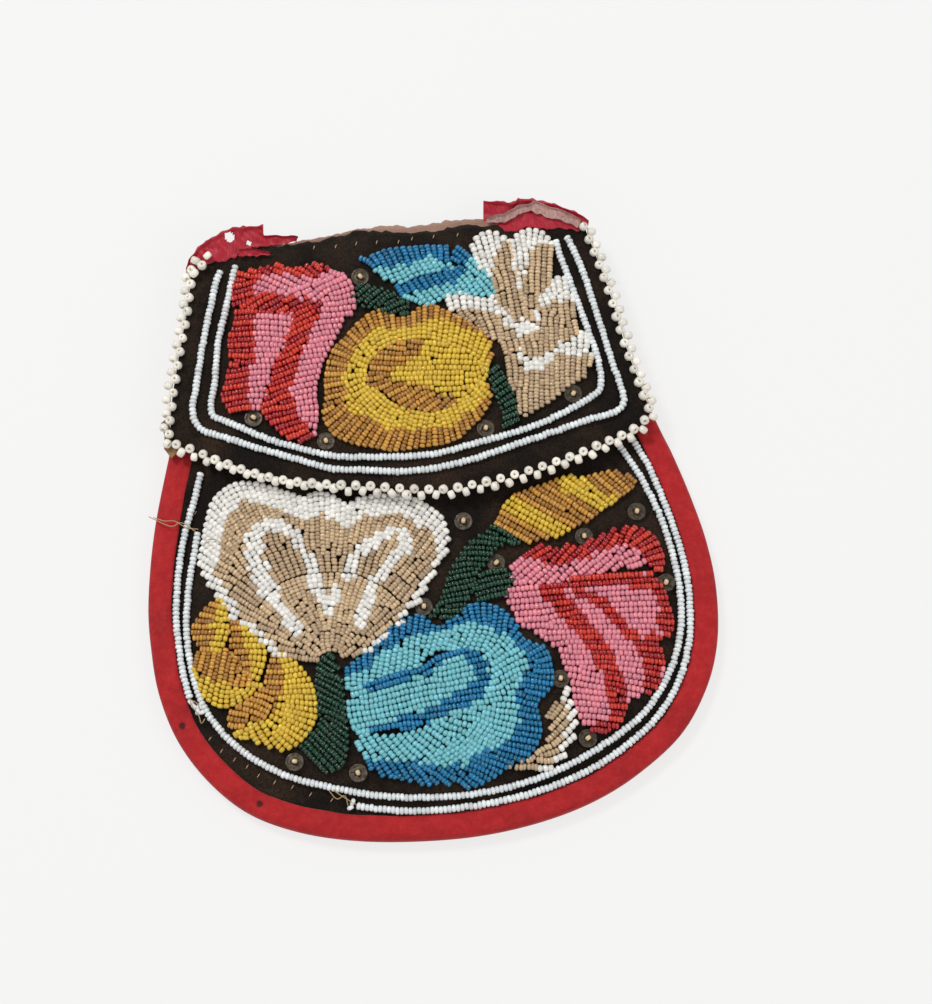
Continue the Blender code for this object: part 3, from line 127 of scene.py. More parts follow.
# the motifs: rows of beads run from the first rail to the last, a colour between each two rails; a band recolours
# what lies within that many millimetres of its line, and over is how far the rows reach past the outer rails
motifs = {
    "flap_red_flower_right": [{"colours": ["red", "pink"], "rails": [
        [(-47, 76.1), (-42.6, 74.9), (-37.7, 73.4), (-33.8, 71.6), (-30.9, 70.1), (-32.2, 67.5), (-34, 64),
         (-35.1, 60.7), (-38.3, 56.6), (-39.5, 52.5), (-41.6, 48.6), (-42.7, 45.1), (-43.7, 42.6), (-42.5, 39.8),
         (-40.3, 36.9), (-38.1, 33.8), (-33.8, 31.7)],
        [(-38.2, 78.3), (-34.7, 77.2), (-28.8, 75.9), (-24.9, 74.7), (-22.1, 74.4), (-23.2, 70.8), (-24.6, 67.7),
         (-27.2, 63.8), (-30, 59.3), (-31.9, 54.8), (-33.4, 50.8), (-35.3, 46.8), (-34.1, 43.5), (-34.3, 40.9),
         (-32.6, 38.6), (-30.8, 36.1), (-29.6, 33.9)],
        [(-37.4, 78.6), (-31.6, 78.1), (-17.1, 81.3), (-13.5, 79.2), (-13, 76.5), (-13.3, 71.2), (-16.9, 68.4),
         (-18.5, 65.1), (-21.8, 60.5), (-24.8, 55.6), (-26.2, 51.5), (-27.3, 48.5), (-27.7, 44.3), (-27.5, 41.2),
         (-27.9, 38.1), (-28.6, 35.6), (-29, 34.1)],
    ]}],
    "flap_red_flower_top": [{"colours": ["red", "pink"], "rails": [
        [(-49.4, 77.6), (-49.4, 80.5), (-48.9, 83.4), (-47.6, 86.2), (-43.9, 87.1), (-39.3, 87.4), (-34.3, 86.5),
         (-29.9, 85.4), (-25.8, 85.8), (-21.7, 85.6), (-18.8, 84.1)],
        [(-42.5, 78.8), (-42.7, 81.3), (-42.5, 83.4), (-41.1, 84.6), (-38.6, 84.6), (-34.5, 84.4), (-30.6, 83.1),
         (-26.1, 82.8), (-22, 82.6), (-19.4, 83.1), (-17.9, 83.2)],
        [(-39.8, 77), (-33.8, 76.3), (-29.8, 76.1), (-26.7, 76.5), (-24.1, 77.5), (-21.9, 78.3), (-19.8, 79.4),
         (-18.2, 80.3), (-17.1, 81), (-16.7, 82), (-15.9, 82.2)],
    ]}],
    "flap_red_flower_left": [{"colours": ["red", "pink"], "rails": [
        [(-48.7, 74.9), (-49.8, 70.7), (-51.7, 66.7), (-51.7, 61.9), (-50.1, 59.6), (-52.6, 57.2), (-53.7, 53.2),
         (-55.4, 49.2), (-54.6, 46.7), (-53.6, 44.2)],
        [(-43.2, 73.9), (-43.8, 69.7), (-44.5, 65.5), (-44.7, 61.1), (-44.6, 58.9), (-46.1, 56.7), (-47, 52.4),
         (-47.6, 48.5), (-47.3, 46.6), (-47.3, 44.8)],
        [(-31.3, 71.3), (-32.4, 67.3), (-34.6, 63.8), (-36.4, 60.1), (-38.2, 58.2), (-38.8, 56.7), (-40.2, 52.9),
         (-41.6, 48.6), (-42.9, 46.1), (-43.8, 44.4)],
    ]}],
    "flap_blue_leaf_top": [{"over": 1.0, "colours": ["navy", "sky"], "rails": [
        [(-9.4, 86), (-5.1, 86.7), (-2, 87.8), (2, 88), (6.4, 87.7), (10.8, 87.5), (14.1, 87.1), (16.3, 86.8)],
        [(-6, 83.9), (-3.6, 83), (0.3, 83.4), (3.2, 84), (7, 83.5), (11.1, 85.4), (14.6, 81.7), (16.9, 82.6)],
        [(-5.3, 82.9), (-2, 79.6), (2.3, 78.2), (5.7, 79.6), (9.4, 80.3), (13.3, 80.4), (16.1, 80.1), (17.8, 80.8)],
    ]}],
    "flap_blue_leaf_right": [{"over": 1.0, "colours": ["navy", "sky"], "rails": [
        [(0.7, 76.3), (3, 77.5), (6.5, 78.6), (11, 79.2), (15, 79.9), (17.9, 81.4), (18.5, 83.9), (19.5, 85.6),
         (20.1, 85.8)],
        [(2, 73.3), (4.9, 74.1), (8.8, 74.8), (12.3, 75.9), (17.3, 76.1), (20.8, 77.5), (21.7, 80.3),
         (22.5, 82.3), (22.6, 83.4)],
        [(5.1, 71.4), (8, 70.2), (11.7, 71), (15.2, 72.6), (20.2, 72.6), (24.5, 71.5), (28.3, 70.8), (29.4, 73),
         (27.1, 78.8)],
    ]}],
    "flap_green_leaf": [{"colours": ["green"], "rails": [
        [(-14, 74.2), (-11, 71.8), (-6.5, 70.6), (-4, 69), (-1.4, 68.2)],
        [(-9.4, 77.6), (-3.4, 75.4), (1, 73), (3, 70.6), (2.4, 68.2)],
    ]}],
    "flap_gold_flower_ring": [{"colours": ["amber", "yellow"], "rails": [
        [(25.9, 52), (25.7, 55.2), (24, 59.1), (20.1, 62.7), (16.5, 65.4), (13.3, 67.4), (10, 69.1), (6.1, 68.9),
         (3.2, 66.3), (-0.3, 66.2), (-3.6, 68), (-6.5, 69.3), (-10.1, 67.9), (-13.9, 64.9), (-17.3, 61.6),
         (-20.6, 58.9), (-22.9, 53.7), (-24.2, 49.3), (-24.3, 44), (-25.7, 38.7), (-24.1, 33.6), (-21, 31),
         (-16.5, 28.7), (-11.9, 27.5), (-7, 25.8), (-1.8, 25.7), (2.9, 26), (8.5, 26), (13.4, 27.5), (16.2, 29.4),
         (19.5, 32.1), (22.5, 35.3), (23.8, 39.2), (23.8, 42.4)],
        [(25.8, 51.9), (25.6, 55), (23.7, 58.4), (19.6, 61.1), (15.8, 62.8), (12.6, 64.7), (9.2, 65.2),
         (5.8, 64.7), (2.8, 63.4), (-0.3, 63.5), (-3, 63.5), (-5.7, 64.3), (-8.9, 63.6), (-11.4, 60.3),
         (-13.8, 58.1), (-15.5, 55.6), (-17.4, 52.4), (-18.3, 49.5), (-17.7, 46.1), (-19.6, 42.1), (-17.8, 38.7),
         (-14.4, 36.7), (-11.1, 34.6), (-8.1, 32.6), (-3.9, 31.7), (0.1, 31), (4.1, 30.8), (8.4, 30.8),
         (12.6, 30.9), (15.6, 33), (18.5, 34.9), (21.8, 36.6), (23.7, 39.3), (23.7, 42.4)],
        [(23.3, 47.6), (23, 50.1), (20.7, 52.6), (17.5, 54.8), (14.2, 56.6), (10.9, 58.3), (8, 59.3), (5.4, 59.7),
         (2.4, 59.8), (-0.2, 59.4), (-2.4, 59), (-4.7, 58.3), (-7, 57.2), (-8.9, 55.7), (-10.3, 54.5),
         (-11.3, 53), (-12, 51.1), (-12.3, 49.7), (-12.3, 47.9), (-12.1, 46.1), (-10, 45), (-7.7, 42.5),
         (-5.8, 40.4), (-3.4, 38.8), (-0.9, 37.6), (2, 36.4), (5.3, 35.5), (8.3, 35.6), (11.4, 36.2),
         (14.7, 38.5), (16.6, 40), (18.9, 41.6), (20.8, 42.7), (22.4, 43.4)],
    ]}],
    "flap_gold_flower_heart": [{"over": 1.6, "colours": ["amber", "yellow"], "rails": [
        [(-1.1, 59.1), (-4.7, 58.1), (-8.9, 55.7), (-10.6, 53.6), (-11.8, 50)],
        [(6.5, 57.5), (5.4, 55.8), (4.3, 53.2), (-1, 52), (-4.8, 49.5)],
        [(14.3, 55.4), (17.7, 53.2), (20.5, 51.1), (22.4, 49), (23.2, 46.5)],
    ]}, {"over": 1.6, "colours": ["amber", "yellow"], "rails": [
        [(-11.8, 48.3), (-9.9, 45.6), (-7.3, 42.2), (-4.1, 40), (-0.8, 38.3), (2.5, 37), (6.6, 36.1), (11, 36.7)],
        [(-5.8, 48.4), (-3.4, 46.7), (1.6, 45), (5.8, 43.6), (9.1, 42.3), (11.6, 41.3), (14, 40.3), (15.2, 38.9)],
        [(23.1, 45.7), (22.5, 44.7), (22.2, 43.9), (21.9, 43.4), (21.4, 42.6), (20.7, 42), (18.9, 41.1),
         (16.5, 39.6)],
    ]}],
    "flap_white_leaf_left": [{"colours": ["white", "clear"], "rails": [
        [(15, 71.2), (18, 72.3), (21.8, 72.4), (26.1, 71), (28.5, 70.2)],
        [(16.2, 66.4), (18.5, 67.3), (21.8, 66.9), (26, 65.2), (28.4, 64.4)],
        [(17.1, 65.1), (21.1, 61.7), (24.6, 58.4), (28.2, 56.3), (29.3, 55.6)],
    ]}],
    "flap_white_leaf_lobe_left": [{"colours": ["white", "clear"], "rails": [
        [(25, 87), (26.6, 89.4), (29, 90.6), (31.8, 90.3), (34.1, 88.6), (35.8, 86.3)],
        [(29.4, 70.6), (29.9, 74.7), (30.7, 81), (32, 85.6), (33.9, 87.1), (35.7, 86.3)],
        [(29.6, 69.7), (30.8, 66.4), (32.7, 63.3), (34.4, 61.6), (35.8, 61.4), (37.2, 63.9)],
    ]}],
    "flap_white_leaf_lobe_right": [{"colours": ["white", "clear"], "rails": [
        [(36.4, 84.5), (38.5, 88.3), (41.2, 90.1), (44.6, 90.3), (47.2, 88.5), (48.8, 85.4)],
        [(36.6, 68), (38.1, 71.4), (40.5, 79.3), (43.5, 86), (46.4, 86.5), (48.5, 85.3)],
        [(36.8, 67.4), (37.9, 65.6), (38.5, 61.1), (40.3, 62.1), (42.5, 66.8), (44.9, 70.6)],
    ]}],
    "flap_white_leaf_middle": [{"over": 1.6, "colours": ["white", "clear"], "rails": [
        [(29.5, 69.5), (31.2, 66.9), (33.1, 64.4), (35.2, 61.5), (37.3, 60.1), (40, 61.8), (42.9, 67.3),
         (46.1, 71), (49.2, 73.6), (51.3, 72.7), (52.4, 67.9)],
        [(29.7, 63.6), (31.3, 61.1), (33.1, 58), (35.1, 56), (36.5, 55.9), (39.4, 57.3), (43.5, 63.2),
         (46.7, 66.9), (48.9, 66.6), (51.8, 68), (52.6, 67.3)],
        [(30.6, 53.1), (32.3, 53.5), (33.7, 53.3), (34.8, 53.7), (37.3, 51.1), (39.1, 50.4), (41.4, 51),
         (44.3, 52.3), (48, 55.1), (51.5, 56.7), (52.9, 58.6)],
    ]}],
    "flap_white_leaf_foot": [{"over": 1.6, "colours": ["white", "clear"], "rails": [
        [(30.3, 53.1), (32.8, 52.8), (34.8, 53.7), (36.9, 50.6), (39.7, 50.9), (42.6, 51.7), (46.2, 54.1),
         (49.8, 56.6), (53.6, 55.6), (56.1, 53.6)],
        [(30.3, 53.1), (32.8, 52.8), (34.4, 48), (36.8, 44.9), (39, 45.2), (41.9, 46.6), (45.6, 49.6), (49, 49.8),
         (52.2, 49.4), (55.3, 49.3)],
        [(31.9, 41.4), (32.9, 37.9), (33.1, 33.3), (34.8, 33.1), (37.1, 34.5), (40.6, 35.8), (44.2, 38.3),
         (47.3, 40.8), (50.2, 42.2), (53.8, 44.6)],
    ]}],
    "flap_green_stem": [{"colours": ["green"], "rails": [
        [(24.6, 46), (25.2, 42), (26.8, 37), (27.6, 33.4), (27, 28.8)],
        [(27.4, 48), (29, 44), (30.6, 40), (32, 34.6), (31.6, 31)],
    ]}],
    "front_white_leaf": [{"colours": ["clear", "white"], "bands": [
        ("white", 1.9, [(-39.9, -24.4), (-43.2, -19.1), (-47.2, -12), (-50.1, -5), (-51.4, 0), (-51, 3.7),
         (-48.4, 6.4), (-44.7, 7.8), (-40.6, 6.1), (-37.3, 3.9), (-36, -0.5), (-34.7, -5.6), (-33.9, -9.9),
         (-33.9, -12.4)]),
        ("white", 2.7, [(-47.2, -12), (-49.5, -5.1), (-50.5, -0.1), (-49.6, 2.9)]),
        ("white", 1.9, [(-23.6, -9.9), (-22.9, -6.4), (-19.6, -3.4), (-15.1, -0.5), (-10.7, 1.4)]),
        ("white", 1.8, [(-6.3, 0.9), (-6.5, -3.4), (-9.8, -6.7), (-13.8, -10.5), (-17.8, -14.3)]),
        ("white", 1.8, [(-18.1, -17.2), (-20.8, -20.6), (-21.2, -24.1)]),
        ("white", 1.4, [(-32.6, -14.3), (-30.8, -20), (-27.6, -14.3)]),
    ], "rails": [
        [(-34.9, -32.6), (-34.9, -32.5), (-34.9, -32.4), (-34.8, -32.2), (-34.7, -32.1), (-34.6, -32),
         (-34.5, -31.9), (-34.4, -31.8), (-34.2, -31.7), (-34.1, -31.6), (-33.9, -31.5), (-33.7, -31.5),
         (-33.5, -31.4), (-33.3, -31.4), (-33, -31.3), (-32.8, -31.3), (-32.6, -31.2), (-32.3, -31.2),
         (-32, -31.2), (-31.8, -31.2), (-31.5, -31.2), (-31.3, -31.3), (-31, -31.3), (-30.7, -31.3),
         (-30.5, -31.4), (-30.2, -31.4), (-30, -31.5), (-29.7, -31.6), (-29.5, -31.7), (-29.3, -31.7),
         (-29.1, -31.8), (-28.9, -31.9), (-28.7, -32.1), (-28.5, -32.2), (-28.3, -32.3), (-28.2, -32.4),
         (-28.1, -32.5), (-28, -32.7), (-27.9, -32.8), (-27.8, -32.9), (-27.7, -33.1), (-27.7, -33.2),
         (-27.7, -33.3), (-27.7, -33.5)],
        [(-43.1, -30.5), (-45.9, -27.6), (-50.9, -22.3), (-55.3, -19), (-57, -14.1), (-59.7, -9.9), (-61.3, -5.2),
         (-61.2, -1.3), (-60.3, 3.1), (-59, 8), (-57.8, 12.2), (-54.7, 14.6), (-51.4, 15.8), (-48.2, 15.5),
         (-44.5, 14.1), (-40.9, 11.9), (-37.4, 10.2), (-34.4, 8.5), (-32.3, 9.4), (-29.7, 9.2), (-27.3, 8.3),
         (-25, 6.2), (-22.7, 4.1), (-20.4, 5.7), (-17.1, 7.1), (-13.9, 7.2), (-11.3, 7.3), (-8.6, 7.4),
         (-5.6, 5.8), (-3.2, 4.2), (-0.8, 2), (2.4, 1.3), (2.7, -2), (2.1, -5.4), (1.3, -8.8), (-1.4, -11.5),
         (-3.7, -14.7), (-6, -17.9), (-7.5, -20), (-10.8, -22.5), (-13.7, -25.5), (-16.9, -27.4), (-19.7, -29.6),
         (-24.4, -32.5)],
        [(-47.8, -29.7), (-50.4, -26.1), (-55.1, -20.2), (-59.5, -16.6), (-62.4, -10.2), (-65, -5.7),
         (-66.3, -0.6), (-65.9, 3.6), (-64.6, 8.3), (-62.9, 13.7), (-61.3, 18.1), (-57.7, 20.8), (-54, 22.2),
         (-50.4, 22), (-46.4, 20.7), (-42.4, 18.7), (-38.4, 17), (-34.9, 15.3), (-32.5, 16.3), (-29.4, 16.5),
         (-26.5, 15.6), (-23.8, 13.4), (-21, 11.2), (-18.5, 12.8), (-14.8, 13.6), (-11.2, 13.5), (-8.2, 13.4),
         (-5.2, 13.4), (-1.8, 11.4), (0.9, 9.6), (3.7, 7.1), (5.8, 4.7), (6.3, 1.2), (5.9, -2.4), (5.1, -6),
         (2.4, -8.7), (0.3, -12.1), (-1.9, -15.5), (-3.3, -17.8), (-6.6, -20.4), (-9.3, -23.7), (-12.5, -25.8),
         (-15.2, -28.5), (-19.8, -32.4)],
    ]}],
    "front_gold_bud": [{"colours": ["amber"], "bands": [
        ("yellow", 2.7, [(25.5, 7), (32.9, 1.5), (40.6, -4)]),
        ("yellow", 3.3, [(43.8, 11.3), (49.2, 7.3), (55.2, 2.6)]),
    ], "rails": [
        [(21.2, 1), (22.6, 3), (24.1, 5.3), (25.5, 7), (27.8, 8.6), (30.9, 9.7), (34, 10.6), (37.1, 10.9),
         (40.2, 11.8), (44.5, 12.2), (48.6, 11.7), (52.3, 12.2), (55.3, 12.5), (58.3, 12.4), (61.8, 11.1)],
        [(30.8, -5.9), (33.6, -5.3), (38.1, -5), (40.6, -4), (43.1, -3.1), (46, -1.9), (48.1, -1.4), (50.4, -0.2),
         (52.7, 1.3), (54.6, 2.6), (56.9, 3.6), (59.2, 5.2), (61.1, 6.2), (62.8, 7.2), (63.9, 9)],
    ]}],
    "front_green_stem": [{"colours": ["green"], "rails": [
        [(21, 1), (17.4, -2), (13, -4.6), (9.6, -7.6), (7, -11), (5.4, -14.4), (4.2, -17.4), (2.4, -20.6),
         (-0.6, -24.6)],
        [(24, -2.6), (27.6, -5.4), (22.4, -5.6), (18.6, -8), (16, -10.4), (14.2, -13), (13, -16), (11.4, -19.6),
         (7, -24.8)],
    ]}, {"colours": ["green"], "rails": [
        [(13.4, -14.6), (12.8, -17.6), (13.4, -21)],
        [(22.6, -13.6), (24.4, -16.4), (22, -19.8)],
    ]}],
    "front_red_flower_top": [{"colours": ["pink", "red"], "rails": [
        [(23.8, -14.6), (25.3, -16.6), (29.3, -17.7), (32.9, -18.1), (36.4, -18.5), (40, -18), (43.7, -17.5),
         (47.3, -17.3), (50.8, -17.1), (55.1, -16.7), (58.1, -16.5), (61.1, -16.5)],
        [(29, -10.9), (32.4, -11.9), (35.2, -13.8), (39.3, -14.6), (44.3, -12.7), (49.8, -11.5), (55.2, -10.9),
         (58.3, -10.7), (60.5, -11.6), (62.7, -13.1), (63.4, -15), (64.1, -16.3)],
        [(34.7, -7.9), (38.2, -8.9), (42.4, -8.5), (45.3, -9.5), (51.6, -6.8), (56.5, -5.6), (60.2, -5.1),
         (64.3, -5.9), (67.1, -7.4), (68.7, -10.7), (69.6, -14.5), (68.8, -17.4)],
    ]}],
    "front_red_flower_body": [{"colours": ["pink"], "bands": [
        ("red", 2.5, [(65.9, -20.1), (67.3, -23.3), (68.4, -28.3), (67.4, -35.4)]),
        ("red", 2.7, [(62.7, -39.7), (62.5, -45.7), (60.5, -51.4)]),
        ("red", 2.8, [(33.7, -20.6), (38.3, -27.2), (42.8, -33.8), (46.6, -40.2), (49.3, -47.1), (50.7, -54.4),
         (50.1, -59.1)]),
        ("red", 1.5, [(49.2, -61.4), (42.5, -63.2)]),
        ("red", 1.6, [(41.9, -22.2), (47.4, -25.2), (51.5, -30), (54.5, -34.5), (58, -39.2), (60.2, -44.8)]),
        ("red", 1.6, [(36.2, -19.7), (44.7, -18.9), (52.9, -19.5), (58.7, -21.1), (63.4, -21.7)]),
    ], "rails": [
        [(23.3, -18.2), (22, -21.7), (24.1, -26.7), (24.4, -29.2), (28.7, -32.1), (32.5, -35.6), (35.1, -38.3),
         (36.4, -42), (37.2, -45.1), (37.9, -48.2), (38, -52.3), (38.1, -55.9), (39.3, -60.2), (41.9, -62.9)],
        [(65.4, -20.1), (68.4, -24.1), (69, -28.4), (69.8, -33.3), (68.6, -37.4), (63.9, -39.3), (65.3, -42.4),
         (65.1, -47.8), (62.1, -52.8), (57.8, -54.1), (54.1, -55.4), (52.2, -58.8), (50.3, -62.1), (45.9, -63.9)],
    ]}],
    "front_blue_flower_ring": [{"colours": ["sky", "navy"], "rails": [
        [(-26.2, -43.1), (-22.9, -42.8), (-19.3, -41.5), (-15, -40.2), (-11.4, -39.4), (-7.2, -39.3),
         (-4.1, -37.3), (0.3, -34.8), (4.4, -35.3), (8.6, -35.2), (12.6, -36.3), (14.7, -38.3), (15.5, -41.4),
         (15.1, -44.3), (14.3, -46.6), (12.8, -49.4), (11.3, -51.6), (8.8, -53.1), (5.8, -53.9), (2.7, -55.3),
         (-0.4, -56.2), (-4, -56.9), (-7.6, -57.7), (-11.2, -58.4), (-14.7, -58.6), (-18.8, -58.7),
         (-22.2, -57.7), (-25.5, -56.2), (-26.8, -54.8)],
        [(-26.2, -40.1), (-21.8, -38.2), (-17.3, -34.5), (-13, -32.7), (-9.2, -30.1), (-4.9, -29.4),
         (-0.9, -30.5), (3.3, -29.8), (8.2, -28.5), (12.8, -29.1), (16.1, -31.3), (20.1, -32.9), (23.7, -37),
         (25.7, -40.2), (25.2, -43.7), (22.5, -47), (20.9, -50.4), (20.7, -56.3), (19.6, -60.9), (17.5, -63.6),
         (13.2, -65.4), (8.4, -66.6), (3.5, -68.4), (-3.5, -68.2), (-8, -67), (-13.2, -66.4), (-17.2, -65.4),
         (-21.8, -64.8), (-24.5, -62.8)],
        [(-26.1, -37.1), (-21.3, -33.5), (-15.6, -29.3), (-11.1, -26.3), (-6.7, -24.4), (-3.8, -24.1),
         (-0.6, -27.5), (2.9, -27.9), (7.5, -24.2), (11.8, -22.6), (17.6, -23.6), (21.7, -27.1), (26.3, -35.5),
         (31.3, -37.9), (32.5, -44.6), (31.6, -49.2), (27, -53.5), (27, -58.2), (27.1, -61.8), (25.4, -65.7),
         (22.1, -68.8), (17.2, -70.6), (11.6, -73.5), (5, -75), (-1.8, -73.6), (-8.1, -72.9), (-13.7, -71.1),
         (-19.4, -69.2), (-23.9, -65.8)],
    ]}],
    "front_blue_flower_heart": [{"over": 1.6, "colours": ["sky", "sky"], "bands": [
        ("navy", 2, [(-21.2, -43.6), (-11.6, -41.2), (-4.3, -39.7), (1.4, -36.1), (7.3, -36.2), (11.5, -40.3),
         (12.2, -44.6), (9.4, -48.4), (3.2, -50.7), (-2.9, -52.9), (-9, -54.6), (-14.9, -55.6), (-20.8, -56.1)]),
    ], "rails": [
        [(-22.4, -43.8), (-25, -45.9), (-26.5, -48.4), (-26.7, -51), (-26.1, -53.7), (-24.9, -55.9)],
        [(-7.3, -39.9), (-7.6, -42.8), (-8, -45.8), (-8.4, -49.3), (-8.7, -52.5), (-10.4, -56.8)],
        [(10.2, -36), (14.1, -40.6), (14, -44.2), (12.4, -47.6), (9, -51.3), (2.7, -54.8)],
    ]}],
    "front_feather_leaf": [{"colours": ["clear", "white"], "lines": [
        [(29.6, -57.9), (33.4, -53.6), (36.2, -50.4)],
        [(29.5, -61.5), (34.2, -56.7), (37.2, -53.8)],
        [(28.5, -64.9), (34.3, -60.5), (37.9, -57.4)],
        [(25.1, -68.6), (33.6, -64), (38, -61.3)],
        [(22, -70), (31.6, -67.6), (36.9, -65.3)],
        [(20.8, -70.1), (28.9, -70.8), (33.4, -69.9)],
        [(17.2, -71.2), (24.5, -73.2), (29, -72.7)],
    ]}],
    "front_gold_petal_left": [{"colours": ["amber", "yellow"], "rails": [
        [(-61.6, -12.2), (-66.3, -14.6), (-70.6, -18.7), (-70.9, -22.2), (-68.5, -25.6)],
        [(-61.5, -13), (-63.2, -16.2), (-64.8, -19.8), (-65.3, -22.9), (-65.9, -26.3)],
        [(-60.3, -14), (-60.1, -17.2), (-60.5, -20.9), (-61.3, -24), (-63.1, -27.1)],
    ]}],
    "front_gold_petal_low": [{"colours": ["amber", "yellow"], "rails": [
        [(-68.6, -26.2), (-64.9, -26.4), (-60.8, -28.2), (-58.1, -32.2), (-56.3, -36.4)],
        [(-71.1, -31.9), (-67.6, -35.1), (-63.4, -36.8), (-60.5, -38.4), (-56.9, -39.1)],
        [(-71.8, -34.6), (-69.6, -39.6), (-65.5, -43.5), (-60.2, -43.7), (-52.4, -39.4)],
    ]}],
    "front_gold_petal_top": [{"colours": ["amber", "yellow"], "rails": [
        [(-59, -18.6), (-60.6, -22.8), (-60.1, -27.2), (-58.6, -31.8), (-56.9, -35.4)],
        [(-57.3, -19), (-56.5, -23.3), (-56, -27.7), (-55.6, -31.8), (-55, -35.3)],
        [(-55.7, -19.7), (-52.1, -23.8), (-50.4, -28.4), (-51, -32.7), (-52.9, -36.8)],
    ]}],
    "front_gold_petal_right": [{"colours": ["amber", "yellow"], "rails": [
        [(-48.4, -31.4), (-50.7, -37.1), (-53.1, -41.2), (-57.7, -43.7), (-62.5, -46.2), (-62.4, -48.8)],
        [(-46.4, -32), (-45.8, -37.7), (-47.2, -43.1), (-50, -47.1), (-54.2, -49.1), (-58.7, -50.8)],
        [(-44.3, -31.8), (-39.5, -37.2), (-37.2, -44.3), (-38.6, -52.4), (-47, -58.3), (-61.5, -52.4)],
    ]}],
    "front_green_side_stem": [{"colours": ["green"], "rails": [
        [(-33.6, -31), (-35.4, -35), (-36.2, -40), (-36.4, -45), (-36.2, -50), (-37.4, -54), (-40.4, -55.6),
         (-42.8, -58)],
        [(-31, -34), (-29.8, -40), (-29.3, -46), (-29.4, -52), (-29.2, -58), (-30, -63), (-32.4, -66),
         (-36, -66.6)],
    ]}],
}

# heights in metres above the table, at the bound rim
levels = {
    "backVelvet": 0.0008, "backLining": 0.0025, "frontLining": 0.0031, "frontVelvet": 0.0044, "frontTop": 0.0051,
    "rimTop": 0.0059, "flapLining": 0.00769, "flapVelvet": 0.00899, "flapTop": 0.00969,
}
onFront, onFlapTop = levels["frontTop"] + 0.0001, levels["flapTop"] + 0.0001
# how the panels leave the level of the rim, in metres
drape = {
    "slopeStart": 0.0087, "slopeWidth": 0.014, "pocketRise": 0.0034, "sinkWidth": 0.004, "backSink": 0.0008,
    "mouth": 0.080, "climbStart": 0.084, "rollStart": 0.086, "seam": 0.096, "seamRise": 0.0069, "flapDrop": 0.00309,
    "flapEnd": 0.0934,
}


def metres(line):
    return [Vector((x, y)) / 1000 for x, y in line]


def onSpline(points, at):
    # a smooth curve through the points; at counts in points
    last = len(points) - 1
    start = min(int(at), last - 1)
    part = at - start
    one, two = points[start], points[start + 1]
    before = points[start - 1] if start else 2 * one - two
    after = points[start + 2] if start + 2 <= last else 2 * two - one
    bend = 2 * before - 5 * one + 4 * two - after
    return 0.5 * (2 * one + (two - before) * part + bend * part**2 + (3 * one - before - 3 * two + after) * part**3)


def finely(points):
    # positions along the curve, twelve to a span, and the points there
    fine = [step / 12 for step in range(12 * (len(points) - 1) + 1)]
    return fine, [onSpline(points, at) for at in fine]


def curveLength(points):
    fine, spots = finely(points)
    return sum((high - low).length for low, high in zip(spots, spots[1:]))


def evenSteps(points, count):
    # positions that part the curve into equal lengths
    fine, spots = finely(points)
    lengths = [0.0]
    for low, high in zip(spots, spots[1:]):
        lengths.append(lengths[-1] + (high - low).length)
    steps, index = [], 0
    for step in range(count + 1):
        wanted = lengths[-1] * step / count
        while index < len(fine) - 2 and lengths[index + 1] < wanted:
            index += 1
        part = (wanted - lengths[index]) / max(lengths[index + 1] - lengths[index], 1e-9)
        steps.append(fine[index] + min(part, 1.0) * (fine[index + 1] - fine[index]))
    return steps


def evenPoints(points, spacing):
    count = max(2, round(curveLength(points) / spacing))
    return [onSpline(points, at) for at in evenSteps(points, count)]


def leftOf(points, index):
    along = points[min(index + 1, len(points) - 1)] - points[max(index - 1, 0)]
    return Vector((-along.y, along.x)).normalized()


def smooth(part):
    part = max(0.0, min(1.0, part))
    return part * part * (3 - 2 * part)


edgeSpacing = 0.0006
edgeLine = evenPoints(metres(bodyEdge), edgeSpacing)
edgeSides = [leftOf(edgeLine, index) for index in range(len(edgeLine))]
edgeTree = kdtree.KDTree(len(edgeLine))
for index, point in enumerate(edgeLine):
    edgeTree.insert((point.x, point.y, 0), index)
edgeTree.balance()


def insideEdge(point):
    spot, index, distance = edgeTree.find((point.x, point.y, 0))
    return distance if (point - edgeLine[index]).dot(edgeSides[index]) > 0 else 0.0


def frontRise(point):
    return drape["pocketRise"] * smooth((insideEdge(point) - drape["slopeStart"]) / drape["slopeWidth"])


def flapRise(point):
    part = max(0.0, min(1.0, (point.y - drape["rollStart"]) / (drape["seam"] - drape["rollStart"])))
    rise = frontRise(point)
    return rise + (drape["pocketRise"] - rise) * smooth(part) - drape["flapDrop"] * part**2


def flapEndRise(point):
    # what hangs past the flap's end stays at the height that the flap has there
    return flapRise(Vector((point.x, min(point.y, drape["flapEnd"]))))


def backRise(point):
    climb = smooth((point.y - drape["climbStart"]) / (drape["seam"] - drape["climbStart"]))
    sink = smooth((insideEdge(point) - drape["slopeStart"]) / drape["sinkWidth"])
    return drape["seamRise"] * climb - drape["backSink"] * max(sink, climb)


def uneven(x, y, scale, seed):
    # a gentle random height, from about -1 to 1, for features of that size in metres
    return noise.noise(Vector((x / scale, y / scale, seed * 7.31))) * 1.6


# mesh helpers
def gridOf(mesh, rows, ring=False):
    # a grid laid on rows of points; as a ring its first column joins the last and its ends are closed
    made = bmesh.ops.create_grid(mesh, x_segments=len(rows[0]) - 1, y_segments=len(rows) - 1, size=1, calc_uvs=True)
    for vert, spot in zip(made["verts"], [spot for row in rows for spot in row]):
        vert.co = spot
    if ring:
        bmesh.ops.remove_doubles(mesh, verts=made["verts"], dist=0.0000001)
        verts = [vert for vert in made["verts"] if vert.is_valid]
        rims = {edge for vert in verts for edge in vert.link_edges if edge.is_boundary}
        bmesh.ops.holes_fill(mesh, edges=list(rims), sides=0)


